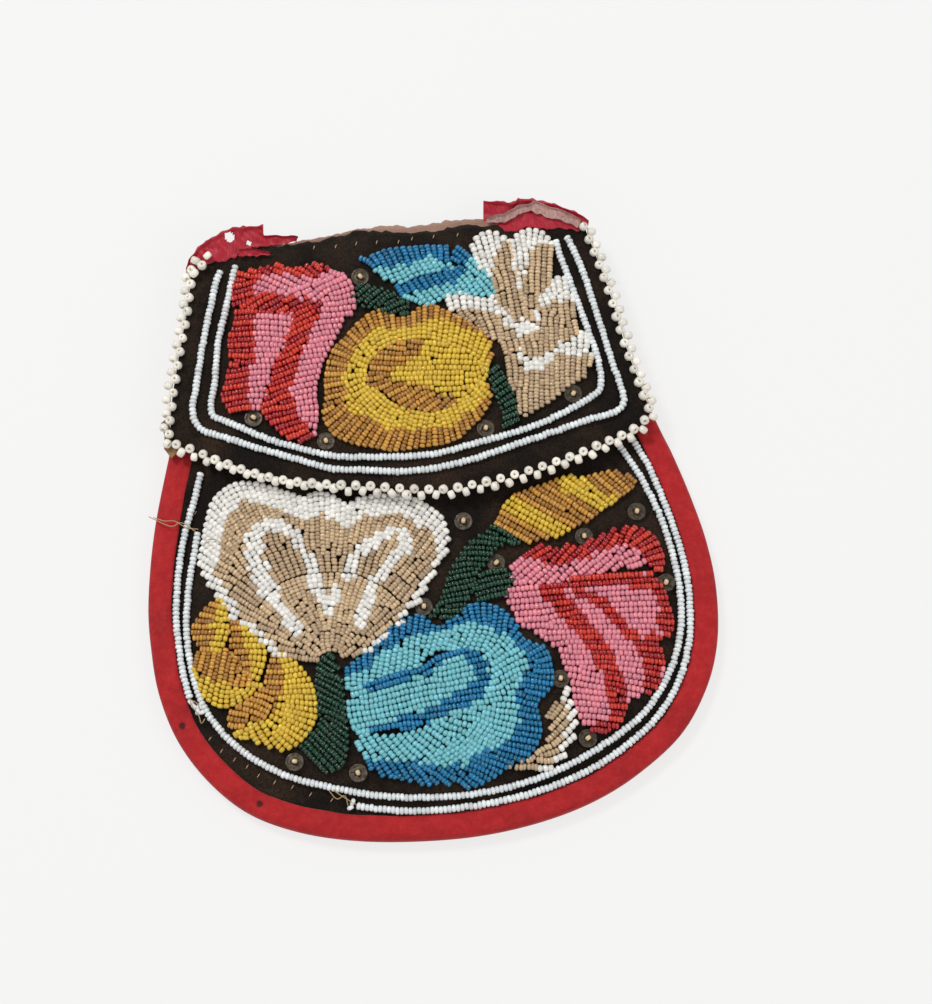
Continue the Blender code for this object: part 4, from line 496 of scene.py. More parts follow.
def spun(mesh, profile, axis, steps, merge, loop=False):
    # a drawn half profile turned round an axis; a loop ends where it began
    chain = [mesh.verts.new((x, 0, z)) for x, z in profile]
    links = [mesh.edges.new(pair) for pair in zip(chain, chain[1:] + chain[:1] if loop else chain[1:])]
    bmesh.ops.spin(mesh, geom=chain + links, axis=axis, cent=(0, 0, 0), steps=steps, angle=math.tau, use_merge=True)
    bmesh.ops.remove_doubles(mesh, verts=mesh.verts, dist=merge)


def tubeAlong(mesh, line, radius, sides=6):
    # a round thread through points in space, thinner at both ends
    rows = []
    for index, spot in enumerate(line):
        along = (line[min(index + 1, len(line) - 1)] - line[max(index - 1, 0)]).normalized()
        across = along.cross(Vector((0.03, 0.05, 1))).normalized()
        up = across.cross(along)
        size = radius * (0.55 if index in (0, len(line) - 1) else 1)
        turns = [2 * math.pi * step / sides for step in range(sides)]
        ring = [spot + (across * math.cos(turn) + up * math.sin(turn)) * size for turn in turns]
        rows.append([*ring, ring[0]])
    gridOf(mesh, rows, ring=True)


def thickened(mesh, depth):
    # a cloth from its upper surface: the copy is lowered by the cloth's thickness
    raised = bmesh.ops.extrude_face_region(mesh, geom=mesh.faces[:], use_keep_orig=True)
    lowered = [item for item in raised["geom"] if isinstance(item, bmesh.types.BMVert)]
    bmesh.ops.translate(mesh, verts=lowered, vec=(0, 0, -depth))


def meshData(name, mesh):
    data = bpy.data.meshes.new(name)
    mesh.to_mesh(data)
    mesh.free()
    return data


def shown(name, data):
    item = bpy.data.objects.new(name, data)
    bpy.context.scene.collection.objects.link(item)
    return item


def finished(name, mesh, surfaces, body, slotName, nodes=(), smoothShade=True):
    bmesh.ops.recalc_face_normals(mesh, faces=mesh.faces)
    data = meshData(name, mesh)
    for surface in surfaces:
        data.materials.append(surface)
    if smoothShade:
        data.shade_smooth()
    piece = shown(name, data)
    if body:
        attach(piece, body)
    if nodes:
        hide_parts(*nodes)
    return piece


# materials
def linear(colour):
    parts = [part / 255 / 12.92 if part <= 10 else ((part / 255 + 0.055) / 1.055) ** 2.4 for part in colour]
    return (*parts, 1.0)


def feed(socket, value):
    # another socket is linked, a plain value is set
    if isinstance(value, bpy.types.NodeSocket):
        socket.id_data.links.new(value, socket)
    else:
        socket.default_value = value


def addNode(tree, kind, **values):
    node = tree.nodes.new(kind)
    for key, value in values.items():
        if key in node.inputs:
            feed(node.inputs[key], value)
        else:
            setattr(node, key, value)
    return node


def mixColour(tree, factor, one, two):
    node = addNode(tree, "ShaderNodeMix", data_type="RGBA")
    for index, value in ((0, factor), (6, one), (7, two)):
        feed(node.inputs[index], value)
    return node.outputs[2]


def maths(tree, operation, *values):
    node = addNode(tree, "ShaderNodeMath", operation=operation)
    for socket, value in zip(node.inputs, values):
        feed(socket, value)
    return node.outputs[0]


def ranged(tree, value, low, high, first=0.0, last=1.0):
    limits = {"From Min": low, "From Max": high, "To Min": first, "To Max": last}
    return addNode(tree, "ShaderNodeMapRange", Value=value, **limits).outputs["Result"]


def noiseAt(tree, vector, scale, detail=3.0, roughness=0.55):
    noiseNode = addNode(tree, "ShaderNodeTexNoise", Vector=vector, Scale=scale, Detail=detail, Roughness=roughness)
    return noiseNode.outputs["Fac"]


def objectPlace(tree):
    return addNode(tree, "ShaderNodeTexCoord").outputs["Object"]


def shaderMix(tree, factor, one, two, output):
    mixed = tree.nodes.new("ShaderNodeMixShader")
    for socket, value in zip(mixed.inputs, (factor, one.outputs[0], two.outputs[0])):
        feed(socket, value)
    feed(tree.nodes[output].inputs["Surface"], mixed.outputs[0])


def groupOf(name, inputs, outputs):
    # a node group and its inside ends: inputs have their kind and value, outputs their kind
    group = bpy.data.node_groups.new(name, "ShaderNodeTree")
    for label, (kind, value) in inputs.items():
        socket = group.interface.new_socket(name=label, in_out="INPUT", socket_type="NodeSocket" + kind)
        if value is not None:
            socket.default_value = value
    for label, kind in outputs.items():
        group.interface.new_socket(name=label, in_out="OUTPUT", socket_type="NodeSocket" + kind)
    return group, group.nodes.new("NodeGroupInput").outputs, group.nodes.new("NodeGroupOutput").inputs


# over and under threads, counted per metre along both directions of a flat vector; Shade is painted shade, darker
# where the threads dip
weaveGroup, given, result = groupOf(
    "threadWeave",
    {"Vector": ("Vector", None), "Threads": ("Float", 2500.0), "Slub": ("Float", 0.25)},
    {"Height": "Float", "Shade": "Float"},
)
scaled = addNode(weaveGroup, "ShaderNodeVectorMath", operation="SCALE", Scale=given["Threads"])
feed(scaled.inputs[0], given["Vector"])
sides = addNode(weaveGroup, "ShaderNodeSeparateXYZ", Vector=scaled.outputs[0]).outputs[:2]
warp, weft = [
    maths(weaveGroup, "ABSOLUTE", maths(weaveGroup, "SINE", maths(weaveGroup, "MULTIPLY", side, math.pi)))
    for side in sides
]
cell = maths(weaveGroup, "ADD", *[maths(weaveGroup, "FLOOR", side) for side in sides])
over = maths(weaveGroup, "PINGPONG", cell, 1.0)
under = maths(weaveGroup, "SUBTRACT", 1.0, over)
shares = [maths(weaveGroup, "MULTIPLY", thread, share) for thread, share in ((warp, over), (weft, under))]
crossed = maths(weaveGroup, "ADD", *shares)
slub = maths(weaveGroup, "MULTIPLY", noiseAt(weaveGroup, scaled.outputs[0], 0.35, 2.0), given["Slub"])
height = maths(weaveGroup, "ADD", crossed, slub)
feed(result["Height"], height)
feed(result["Shade"], ranged(weaveGroup, height, 0.0, 1.2, 0.62, 1.0))

# uneven wear and dust: a mask of soft patches with fine specks in them
wearGroup, given, result = groupOf(
    "clothWear",
    {"Vector": ("Vector", None), "Patches": ("Float", 60.0), "Specks": ("Float", 1400.0), "Amount": ("Float", 0.5)},
    {"Mask": "Float", "Speckle": "Float"},
)
soft = ranged(wearGroup, noiseAt(wearGroup, given["Vector"], given["Patches"], 4.0, 0.6), 0.42, 0.72)
grain = ranged(wearGroup, noiseAt(wearGroup, given["Vector"], given["Specks"], 2.0, 0.7), 0.35, 0.75)
dusty = maths(wearGroup, "MULTIPLY", soft, maths(wearGroup, "ADD", grain, 0.35))
feed(result["Mask"], maths(wearGroup, "MULTIPLY", dusty, given["Amount"]))
feed(result["Speckle"], grain)

# each bead's own tint, from the number that every bead carries; on alternate rows of glass tubes and on filling beads
# that number also holds painted light and shade
toneGroup, given, result = groupOf(
    "beadTone",
    {"Colour": ("Color", None), "Dark": ("Float", 0.75), "Light": ("Float", 1.12), "Grime": ("Float", 0.25)},
    {"Colour": "Color", "Tone": "Float"},
)
toneOf = addNode(toneGroup, "ShaderNodeAttribute", attribute_name="tone").outputs["Fac"]
tint = addNode(
    toneGroup, "ShaderNodeHueSaturation", Color=given["Colour"],
    Value=ranged(toneGroup, toneOf, 0.0, 1.0, given["Dark"], given["Light"]),
    Hue=ranged(toneGroup, toneOf, 0.0, 1.0, 0.494, 0.506),
)
dirt = ranged(toneGroup, noiseAt(toneGroup, objectPlace(toneGroup), 900.0, 3.0, 0.7), 0.5, 0.78)
dirtMask = maths(toneGroup, "MULTIPLY", dirt, given["Grime"])
feed(result["Colour"], mixColour(toneGroup, dirtMask, tint.outputs["Color"], (0.06, 0.04, 0.025, 1)))
feed(result["Tone"], toneOf)


def surfaceOf(name, **values):
    # a material with plain values on its shader; an underscore stands for a space
    made = bpy.data.materials.new(name)
    made.use_nodes = True
    shader = made.node_tree.nodes["Principled BSDF"]
    for key, value in values.items():
        shader.inputs[key.replace("_", " ")].default_value = value
    return made, made.node_tree, shader


def bumpInto(tree, shader, height, strength, distance):
    bump = addNode(tree, "ShaderNodeBump", Strength=strength, Distance=distance, Height=height)
    feed(shader.inputs["Normal"], bump.outputs["Normal"])


def wearOn(tree, where, patches, specks, amount):
    values = {"Vector": where, "Patches": patches, "Specks": specks, "Amount": amount}
    return addNode(tree, "ShaderNodeGroup", node_tree=wearGroup, **values).outputs


# the camera looks down steeply, turned a little to the left; angles in degrees
aim = {"target": Vector((0.0136, 0.0102, 0.003)), "elevation": 76, "azimuth": -6.7, "distance": 0.753, "lens": 90}
high, turn = math.radians(aim["elevation"]), math.radians(aim["azimuth"])
back = Vector((math.sin(turn) * math.cos(high), -math.cos(turn) * math.cos(high), math.sin(high)))
right = Vector((math.cos(turn), math.sin(turn), 0))
camera = shown("camera", bpy.data.cameras.new("camera"))
camera.data.lens = aim["lens"]
camera.data.sensor_width = 36
camera.data.clip_start = 0.01
turned = Matrix((right, back.cross(right), back)).transposed().to_4x4()
camera.matrix_world = Matrix.Translation(aim["target"] + back * aim["distance"]) @ turned
bpy.context.scene.camera = camera

# a white table and plain light from all round, a little stronger from above left
world = bpy.data.worlds.new("studio")
bpy.context.scene.world = world
world.use_nodes = True
tree = world.node_tree
sky = tree.nodes["Background"]
sky.inputs["Color"].default_value = (1.0, 1.0, 1.0, 1)
sky.inputs["Strength"].default_value = 0.5
seen = addNode(tree, "ShaderNodeBackground", Color=(1, 1, 1, 1), Strength=1.0)
rays = tree.nodes.new("ShaderNodeLightPath").outputs
plainRay = maths(tree, "MAXIMUM", rays["Is Camera Ray"], rays["Is Transmission Ray"])
shaderMix(tree, plainRay, sky, seen, "World Output")


def areaLight(name, place, size, power):
    # a round lamp that faces the purse
    data = bpy.data.lights.new(name, "AREA")
    data.shape = "DISK"
    data.size = size
    data.energy = power
    lamp = shown(name, data)
    lamp.location = place
    lamp.rotation_euler = (-Vector(place)).to_track_quat("-Z", "Y").to_euler()


areaLight("key", (-0.55, 0.75, 1.3), 0.4, 11.0)
areaLight("fill", (0.9, -0.6, 1.1), 0.8, 4.0)

tableSurface, tree, shader = surfaceOf("table", Roughness=0.9, Base_Color=(0.90, 0.90, 0.89, 1))
glow = addNode(tree, "ShaderNodeEmission", Color=(0.93, 0.93, 0.925, 1), Strength=1.0)
rays = tree.nodes.new("ShaderNodeLightPath").outputs
shaderMix(tree, maths(tree, "MULTIPLY", rays["Is Camera Ray"], 0.8), shader, glow, "Material Output")
mesh = bmesh.new()
bmesh.ops.create_grid(mesh, x_segments=8, y_segments=8, size=1.6)
table = shown("table", meshData("table", mesh))
table.data.materials.append(tableSurface)
table.location.z = -0.0002
print("camera, light and table")


# velvet: dark pile, crushed and brown with dust in places
def velvetSurface(name, dust):
    made, tree, shader = surfaceOf(name, Roughness=0.95, Sheen_Weight=0.1, Sheen_Roughness=0.45,
                                   Sheen_Tint=(0.62, 0.5, 0.4, 1), Specular_IOR_Level=0.15)
    where = objectPlace(tree)
    wear = wearOn(tree, where, 45.0, 1500.0, dust)
    pile = mixColour(tree, wear["Speckle"], linear((17, 13, 11)), linear((36, 29, 24)))
    feed(shader.inputs["Base Color"], mixColour(tree, wear["Mask"], pile, linear((92, 70, 52))))
    crushed, fine = noiseAt(tree, where, 260.0, 3.0, 0.6), noiseAt(tree, where, 3200.0, 2.0, 0.7)
    bumpInto(tree, shader, maths(tree, "ADD", crushed, maths(tree, "MULTIPLY", fine, 0.35)), 0.7, 0.0006)
    return made


def wovenSurface(name, dark, light, stain, stainAmount, rough):
    made, tree, shader = surfaceOf(name, Roughness=rough, Specular_IOR_Level=0.2)
    where = objectPlace(tree)
    weave = addNode(tree, "ShaderNodeGroup", node_tree=weaveGroup, Threads=1900.0, Vector=where).outputs
    wear = wearOn(tree, where, 38.0, 900.0, stainAmount)
    # the weave's painted shade darkens the cloth where its threads dip
    cloth = mixColour(tree, weave["Shade"], linear(dark), linear(light))
    feed(shader.inputs["Base Color"], mixColour(tree, wear["Mask"], cloth, linear(stain)))
    bumpInto(tree, shader, weave["Height"], 0.5, 0.00025)
    return made


velvetPile = velvetSurface("velvetPile", 0.4)
liningWeave = wovenSurface("liningWeave", (104, 74, 60), (158, 122, 104), (70, 48, 36), 0.5, 0.9)
cardSurface, tree, shader = surfaceOf("boardCard", Roughness=0.85)
fibres = noiseAt(tree, objectPlace(tree), 700.0, 4.0, 0.7)
feed(shader.inputs["Base Color"], mixColour(tree, fibres, linear((112, 82, 50)), linear((166, 132, 92))))
bumpInto(tree, shader, fibres, 0.4, 0.0002)
for board in ("front_board", "back_board", "flap_board"):
    for materialSlot in bpy.data.objects[board].material_slots:
        materialSlot.material = cardSurface

# the sheets of cloth: the top of each panel, its flat size and area, how far its pile stands up unevenly, and in
# which way; and what the velvets and the linings have in common
sheets = {
    "velvet_front": {"top": drape["mouth"], "flat": (0.1683, 0.1693), "area": 0.0238, "crush": 0.00022, "seed": 2},
    "lining_front": {"top": drape["mouth"], "flat": (0.1683, 0.1693), "area": 0.0238, "crush": 0.0, "seed": 1},
    "velvet_back": {"top": 0.0957, "flat": (0.1683, 0.1855), "area": 0.0256, "crush": 0.00012, "seed": 5},
    "lining_back": {"top": 0.084, "flat": (0.1683, 0.1693), "area": 0.0242, "crush": 0.0, "seed": 1},
    "velvet_flap": {"flat": (0.1437, 0.0835), "area": 0.0092, "crush": 0.00022, "seed": 8},
    "lining_flap": {"flat": (0.1437, 0.0835), "area": 0.0096, "crush": 0.0, "seed": 1},
}
clothKinds = {
    "velvet": {"depth": 0.0007, "inset": 0.0008, "surface": velvetPile},
    "lining": {"depth": 0.0003, "inset": 0.0010, "surface": liningWeave},
}
rises = {"front": frontRise, "back": backRise, "flap": flapRise}
lowest = min(range(len(edgeLine)), key=lambda index: edgeLine[index].y)


def panelRows(name, rowCount, columnCount):
    # rows of a pocket panel, from its top round to the bottom
    top, inset = sheets[name]["top"], clothKinds[name.split("_")[0]]["inset"]
    ways = (range(lowest + 1), range(len(edgeLine) - 1, lowest, -1))
    left, right = [
        [edgeLine[index] + edgeSides[index] * inset for index in way if edgeLine[index].y < top] for way in ways
    ]
    left[0].y = right[0].y = top
    rows = []
    for row in range(rowCount + 1):
        part = min(row / rowCount, 0.997)
        ends = []
        for side in (left, right):
            spot = part * (len(side) - 1)
            low = min(int(spot), len(side) - 2)
            ends.append(side[low].lerp(side[low + 1], spot - low))
        rows.append([ends[0].lerp(ends[1], column / columnCount) for column in range(columnCount + 1)])
    return rows


def clothSheet(name, rows):
    clothName, side = name.split("_")
    sheet, kind, rise = sheets[name], clothKinds[clothName], rises[side]
    seed = sheet["seed"]
    level = levels[side + clothName.title()] + kind["depth"]
    spots = []
    for row in rows:
        line = []
        for point in row:
            coarse, fine = uneven(point.x, point.y, 0.012, seed), uneven(point.x, point.y, 0.004, seed + 3)
            bumps = sheet["crush"] * (0.5 + 0.5 * coarse + 0.25 * fine)
            line.append(Vector((point.x, point.y, level + rise(point) + max(bumps, 0))))
        spots.append(line)
    mesh = bmesh.new()
    gridOf(mesh, spots)
    thickened(mesh, kind["depth"])
    body = "flap" if side == "flap" else "purse"
    piece = finished(name, mesh, [kind["surface"]], body, clothName, [f"{side}_{clothName}"])


clothSheet("velvet_front", panelRows("velvet_front", 84, 84))
clothSheet("lining_front", panelRows("lining_front", 46, 42))
clothSheet("velvet_back", panelRows("velvet_back", 84, 70))
clothSheet("lining_back", panelRows("lining_back", 46, 42))
print("panels")


# the flap: a sheet between its four drawn edges
def flapRows(columnCount, rowCount, ragged=0.0):
    edges = [metres(line) for line in (flapLeft, flapRight, flapBottom, flapTop)]
    spans = 60
    steps = [evenSteps(line, spans) for line in edges]

    def at(which, part):
        spot = part * spans
        low = min(int(spot), spans - 1)
        place = steps[which][low] + (steps[which][low + 1] - steps[which][low]) * (spot - low)
        return onSpline(edges[which], place)

    corners = (edges[2][0], edges[2][-1], edges[3][0], edges[3][-1])
    rows = []
    for rowIndex in range(rowCount + 1):
        up = rowIndex / rowCount
        row = []
        for columnIndex in range(columnCount + 1):
            across = columnIndex / columnCount
            spot = at(0, up) * (1 - across) + at(1, up) * across + at(2, across) * (1 - up) + at(3, across) * up
            spot -= (corners[0] * (1 - across) + corners[1] * across) * (1 - up)
            spot -= (corners[2] * (1 - across) + corners[3] * across) * up
            if ragged and up > 0.9:
                tatter = 0.4 + uneven(spot.x, 0, 0.006, 4) + 0.5 * uneven(spot.x, 0, 0.0017, 9)
                spot.y += ragged * (up - 0.9) / 0.1 * tatter
            row.append(spot)
        rows.append(row)
    return rows


clothSheet("velvet_flap", flapRows(96, 64, 0.0011))
# the lining ends under the velvet's edge
lowRows = [[spot - Vector((0, 0.0005)) * smooth((spot.y - 0.08) / 0.01) for spot in row] for row in flapRows(96, 40)]
clothSheet("lining_flap", lowRows)

# the cloth that hinges the flap, with one leg on the back and one under the flap; its fold at the seam has frayed
hinge = {
    "halfWidth": 0.0535, "seam": 0.0957, "pivot": 0.0963, "leastFold": 0.0962, "lowEnd": 0.0885, "highEnd": 0.0862,
    "depth": 0.00012, "bulge": 0.00035, "columns": 160,
}
hingeCloth = wovenSurface("hingeCloth", (122, 88, 76), (186, 150, 132), (92, 64, 50), 0.45, 0.92)


def heightAcross(line, x):
    for low, high in zip(line, line[1:]):
        if low.x <= x <= high.x:
            return low.y + (high.y - low.y) * (x - low.x) / (high.x - low.x)
    return line[-1].y


foldLine = metres(clothTop)
rows = []
for column in range(hinge["columns"] + 1):
    x = hinge["halfWidth"] * (column / (hinge["columns"] / 2) - 1)
    fray = 0.0004 * uneven(x, 1, 0.004, 6) + 0.0003 * uneven(x, 2, 0.0012, 7)
    fold = max(hinge["leastFold"], heightAcross(foldLine, x) + 0.0005 + fray)
    low = [hinge["lowEnd"] + (hinge["seam"] - hinge["lowEnd"]) * step / 9 for step in range(10)]
    high = [hinge["highEnd"] + (hinge["seam"] - hinge["highEnd"]) * step / 11 for step in range(12)]
    under = [(y, levels["backVelvet"] + 0.0008 + backRise(Vector((x, y)))) for y in low]
    over = [(y, levels["flapLining"] + flapRise(Vector((x, y))) - 0.00002) for y in high]
    middle = (under[-1][1] + over[-1][1]) / 2
    halfway = fold * 0.5 + hinge["seam"] * 0.5
    bulge = hinge["bulge"] * (1 + 0.6 * uneven(x, 3, 0.003, 2))
    ring = under + [(halfway, middle - 0.0003), (fold - 0.0001, middle - 0.0002), (fold, middle + 0.0001)]
    ring += [(fold - 0.0002, middle + 0.0002 + bulge * 0.6), (halfway, middle + 0.0003 + bulge)] + over[::-1]
    ring += [(y, height - hinge["depth"]) for y, height in over]
    ring += [(y, height + hinge["depth"]) for y, height in under[::-1]]
    rows.append([Vector((x, y, height)) for y, height in [*ring, ring[0]]])
mesh = bmesh.new()
gridOf(mesh, rows, ring=True)
seamCloth = finished("hinge_cloth", mesh, [hingeCloth], None, "lining")
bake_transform(seamCloth)
print("flap")

# the red tape folded round both rims; the worn holes and the profile are in millimetres, inset and height
binding = {
    "spacing": 0.0008,
    "wornHoles": [(-76.7, -47.8), (-56.5, -73.2)],
    "girth": 0.032,
    "flatWidth": 0.0165,
    "profile": [
        (7.3, 5.42), (7.15, 5.72), (6.3, 5.9), (4.4, 5.95), (2.6, 5.9), (1.3, 5.66), (0.4, 5.0), (0.02, 4.0), (0, 2.0),
        (0.35, 1.0), (1.1, 0.3), (2.4, 0.03), (4.6, 0), (7.2, 0), (7.2, 0.42), (4.6, 0.45), (2.6, 0.48), (1.5, 0.72),
        (0.8, 1.3), (0.5, 2.1), (0.52, 3.9), (0.85, 4.8), (1.6, 5.3), (2.7, 5.45), (4.4, 5.5), (6.3, 5.42),
    ],
}
tapeSurface, tree, shader = surfaceOf(
    "redTape", Roughness=0.78, Sheen_Weight=0.12, Sheen_Roughness=0.5, Specular_IOR_Level=0.22
)
where = objectPlace(tree)
flatPlace = addNode(tree, "ShaderNodeUVMap", uv_map="tape").outputs[0]
weave = addNode(tree, "ShaderNodeGroup", node_tree=weaveGroup, Threads=2300.0, Slub=0.4, Vector=flatPlace).outputs
wear = wearOn(tree, where, 55.0, 700.0, 0.5)
# the weave's painted shade darkens the tape where its threads dip
cloth = mixColour(tree, weave["Shade"], linear((124, 16, 22)), linear((192, 34, 38)))
slubs = noiseAt(tree, where, 420.0, 4.0, 0.65)
cloth = mixColour(tree, ranged(tree, slubs, 0.42, 0.72, 0.0, 0.55), cloth, linear((206, 52, 52)))
fadedTape = mixColour(tree, wear["Mask"], cloth, linear((108, 22, 24)))
for x, y in binding["wornHoles"]:
    reach = addNode(tree, "ShaderNodeVectorMath", operation="DISTANCE")
    feed(reach.inputs[0], where)
    feed(reach.inputs[1], (x / 1000, y / 1000, 0.0057))
    raggedReach = maths(tree, "ADD", reach.outputs["Value"], maths(tree, "MULTIPLY", slubs, 0.0008))
    fadedTape = mixColour(tree, ranged(tree, raggedReach, 0.0011, 0.0017, 0.92, 0.0), fadedTape, linear((54, 24, 20)))
feed(shader.inputs["Base Color"], fadedTape)
wrinkles = maths(tree, "MULTIPLY", noiseAt(tree, where, 300.0, 3.0), 1.6)
bumpInto(tree, shader, maths(tree, "ADD", weave["Height"], wrinkles), 0.6, 0.0003)

rimLine = [point.copy() for point in edgeLine if point.y < drape["mouth"]]
rimLine[0].y = rimLine[-1].y = drape["mouth"]
tapeLine = evenPoints(rimLine[::3] + [rimLine[-1]], binding["spacing"])
rows = []
for index, point in enumerate(tapeLine):
    side = leftOf(tapeLine, index)
    if index in (0, len(tapeLine) - 1):
        side = Vector((math.copysign(1.0, -point.x), 0))
    along = index * binding["spacing"]
    pucker = noise.noise(Vector((along / 0.006, 3.1, 0))) + 0.7 * noise.noise(Vector((along / 0.0021, 9.4, 0)))
    middle = point + side * 0.0042
    worn = max(smooth(1.6 - (middle - Vector(hole) / 1000).length / 0.002) for hole in binding["wornHoles"])
    wander = noise.noise(Vector((along / 0.011, 17.3, 0)))
    ring = []
    for inset, height in binding["profile"]:
        onTop = smooth((height - 4.6) / 0.8) * smooth((inset - 0.8) / 2.0)
        inset += 0.35 * wander * smooth((inset - 5.6) / 1.2)
        ripple = 0.7 + 0.3 * noise.noise(Vector((inset / 2.1, along / 0.004, 1.5)))
        height += (0.32 * pucker * ripple - 0.4 * worn) * onTop
        ring.append(Vector((*(point + side * inset / 1000), height / 1000)))
    rows.append([*ring, ring[0]])
mesh = bmesh.new()
gridOf(mesh, rows, ring=True)
uvLayer = mesh.loops.layers.uv.verify()
for face in mesh.faces:
    for loop in face.loops:
        across, along = loop[uvLayer].uv
        loop[uvLayer].uv = (across * binding["girth"], along * len(rows) * binding["spacing"])
tape = finished("binding_tape", mesh, [tapeSurface], "purse", "tape", ["body_binding"])
tape.data.uv_layers[0].name = "tape"
print("binding")


def beadMesh():
    # every bead carries a number for its tint
    mesh = bmesh.new()
    return mesh, mesh.verts.layers.float.new("tone")


# one bead of each shape, one unit long and one unit across, threaded along X
def beadShape(name, profile, steps):
    mesh, toneLayer = beadMesh()
    spun(mesh, profile, (1, 0, 0), steps, 0.0001)
    bmesh.ops.holes_fill(mesh, edges=[edge for edge in mesh.edges if edge.is_boundary], sides=0)
    bmesh.ops.recalc_face_normals(mesh, faces=mesh.faces)
    return meshData(name, mesh)


roundProfile = [(-0.49, 0.2), (-0.42, 0.38), (-0.19, 0.49), (0.19, 0.49), (0.42, 0.38), (0.49, 0.2)]
tubeProfile = [(-0.5, 0.26), (-0.41, 0.41), (-0.16, 0.5), (0.16, 0.5), (0.41, 0.41), (0.5, 0.26)]
roundBead, tubeBead = beadShape("roundBead", roundProfile, 8), beadShape("tubeBead", tubeProfile, 8)
# name, colour, width and pitch along the thread in millimetres, shape, roughness, how far the sides are painted darker
# as shade, slot
beadTable = [
    ("red", (206, 38, 34), 1.96, 1.14, tubeBead, 0.14, 0.65, "red_beads"),
    ("pink", (240, 146, 162), 2.0, 1.36, roundBead, 0.28, 0.15, "red_beads"),
    ("yellow", (234, 196, 62), 2.0, 1.36, roundBead, 0.28, 0.3, "gold_beads"),
    ("amber", (206, 146, 60), 1.9, 1.14, tubeBead, 0.1, 0.7, "gold_beads"),
    ("sky", (128, 208, 218), 2.0, 1.36, roundBead, 0.25, 0.3, "blue_beads"),
    ("navy", (20, 126, 176), 1.95, 1.2, roundBead, 0.14, 0.55, "blue_beads"),
    ("green", (8, 60, 38), 1.85, 1.14, tubeBead, 0.09, 0.7, "green_beads"),
    ("clear", (216, 186, 148), 1.9, 1.14, tubeBead, 0.09, 0.5, "white_beads"),
    ("white", (253, 250, 243), 2.15, 1.6, roundBead, 0.28, 0.25, "white_beads"),
    ("pale", (244, 249, 250), 2.25, 1.26, roundBead, 0.26, 0.05, "pale_beads"),
    ("cream", (252, 246, 234), 3.0, 2.1, roundBead, 0.24, 0.05, "cream_beads"),
]
beadFields = ("name", "colour", "across", "pitch", "shape", "rough", "depth", "slot")
beadKinds = {row[0]: dict(zip(beadFields, row)) for row in beadTable}


def isDeep(kind):
    # clear or strongly coloured glass
    return kind["depth"] > 0.45


def beadGlass(kind):
    # solid colours are milky glass; every bead's sides are painted darker as shade, the deep ones most, and the deep
    # ones get painted glints
    deep, colour = isDeep(kind), linear(kind["colour"])
    made, tree, shader = surfaceOf(
        kind["name"] + "Glass", Roughness=kind["rough"], Coat_Weight=0.3 if deep else 0.4, Coat_Roughness=0.05,
        Specular_IOR_Level=0.36 if deep else 0.5,
    )
    tint = {"Colour": colour, "Dark": 0.58 if deep else 0.76, "Light": 1.26 if deep else 1.12}
    tone = addNode(tree, "ShaderNodeGroup", node_tree=toneGroup, **tint).outputs["Colour"]
    # painted shade: the colour darkens toward the bead's sides
    facing = addNode(tree, "ShaderNodeLayerWeight", Blend=0.35).outputs["Facing"]
    shade = (*(part * 0.2 for part in colour[:3]), 1.0)
    glass = mixColour(tree, maths(tree, "MULTIPLY", facing, kind["depth"]), tone, shade)
    where = objectPlace(tree)
    if deep:
        # painted glints: pale specks mixed into the colour of deep glass
        paintedGlint = ranged(tree, noiseAt(tree, where, 2300.0, 1.0), 0.6, 0.7, 0.0, 0.55)
        glass = mixColour(tree, paintedGlint, glass, (*(0.45 * part**0.7 + 0.3 for part in colour[:3]), 1.0))
    feed(shader.inputs["Base Color"], glass)
    bumpInto(tree, shader, noiseAt(tree, where, 1400.0, 2.0), 0.15, 0.0001)
    return made


for kind in beadKinds.values():
    kind["surface"] = beadGlass(kind)


def dropIn(mesh, toneLayer, shape, matrix, tone):
    # one more copy of the shape, with its tint; gives back the number of its first face
    start, startFace = len(mesh.verts), len(mesh.faces)
    mesh.from_mesh(shape)
    mesh.verts.ensure_lookup_table()
    mesh.faces.ensure_lookup_table()
    fresh = mesh.verts[start:]
    bmesh.ops.transform(mesh, matrix=matrix, verts=fresh)
    for vert in fresh:
        vert[toneLayer] = tone
    return startFace


def addBead(mesh, toneLayer, kind, spot, heading, tilt, tone, slotIndex, wide=1.0):
    # heading turns the thread in the plan, tilt raises its far end
    across = kind["across"] / 1000 * wide * random.uniform(0.93, 1.06)
    size = Matrix.Diagonal((kind["pitch"] / 1000 * 1.03, across, across / wide**0.5, 1))
    turned = Matrix.Rotation(heading, 4, "Z") @ Matrix.Rotation(-tilt, 4, "Y")
    turned = turned @ Matrix.Rotation(random.uniform(0, 6.3), 4, "X")
    startFace = dropIn(mesh, toneLayer, kind["shape"], Matrix.Translation(spot) @ turned @ size, tone)
    for face in mesh.faces[startFace:]:
        face.material_index = slotIndex


class Cells:
    # things kept by where they lie, to find those near a point
    def __init__(self, size):
        self.size, self.held = size, {}

    def cellOf(self, point):
        return int(point.x // self.size), int(point.y // self.size)

    def add(self, point, thing):
        self.held.setdefault(self.cellOf(point), []).append(thing)

    def near(self, point):
        across, up = self.cellOf(point)
        for right in (-1, 0, 1):
            for above in (-1, 0, 1):
                yield from self.held.get((across + right, up + above), ())


def distanceTo(line, point):
    best = 1.0
    for low, high in zip(line, line[1:]):
        span = high - low
        part = max(0.0, min(1.0, (point - low).dot(span) / span.length_squared))
        best = min(best, (low + span * part - point).length)
    return best


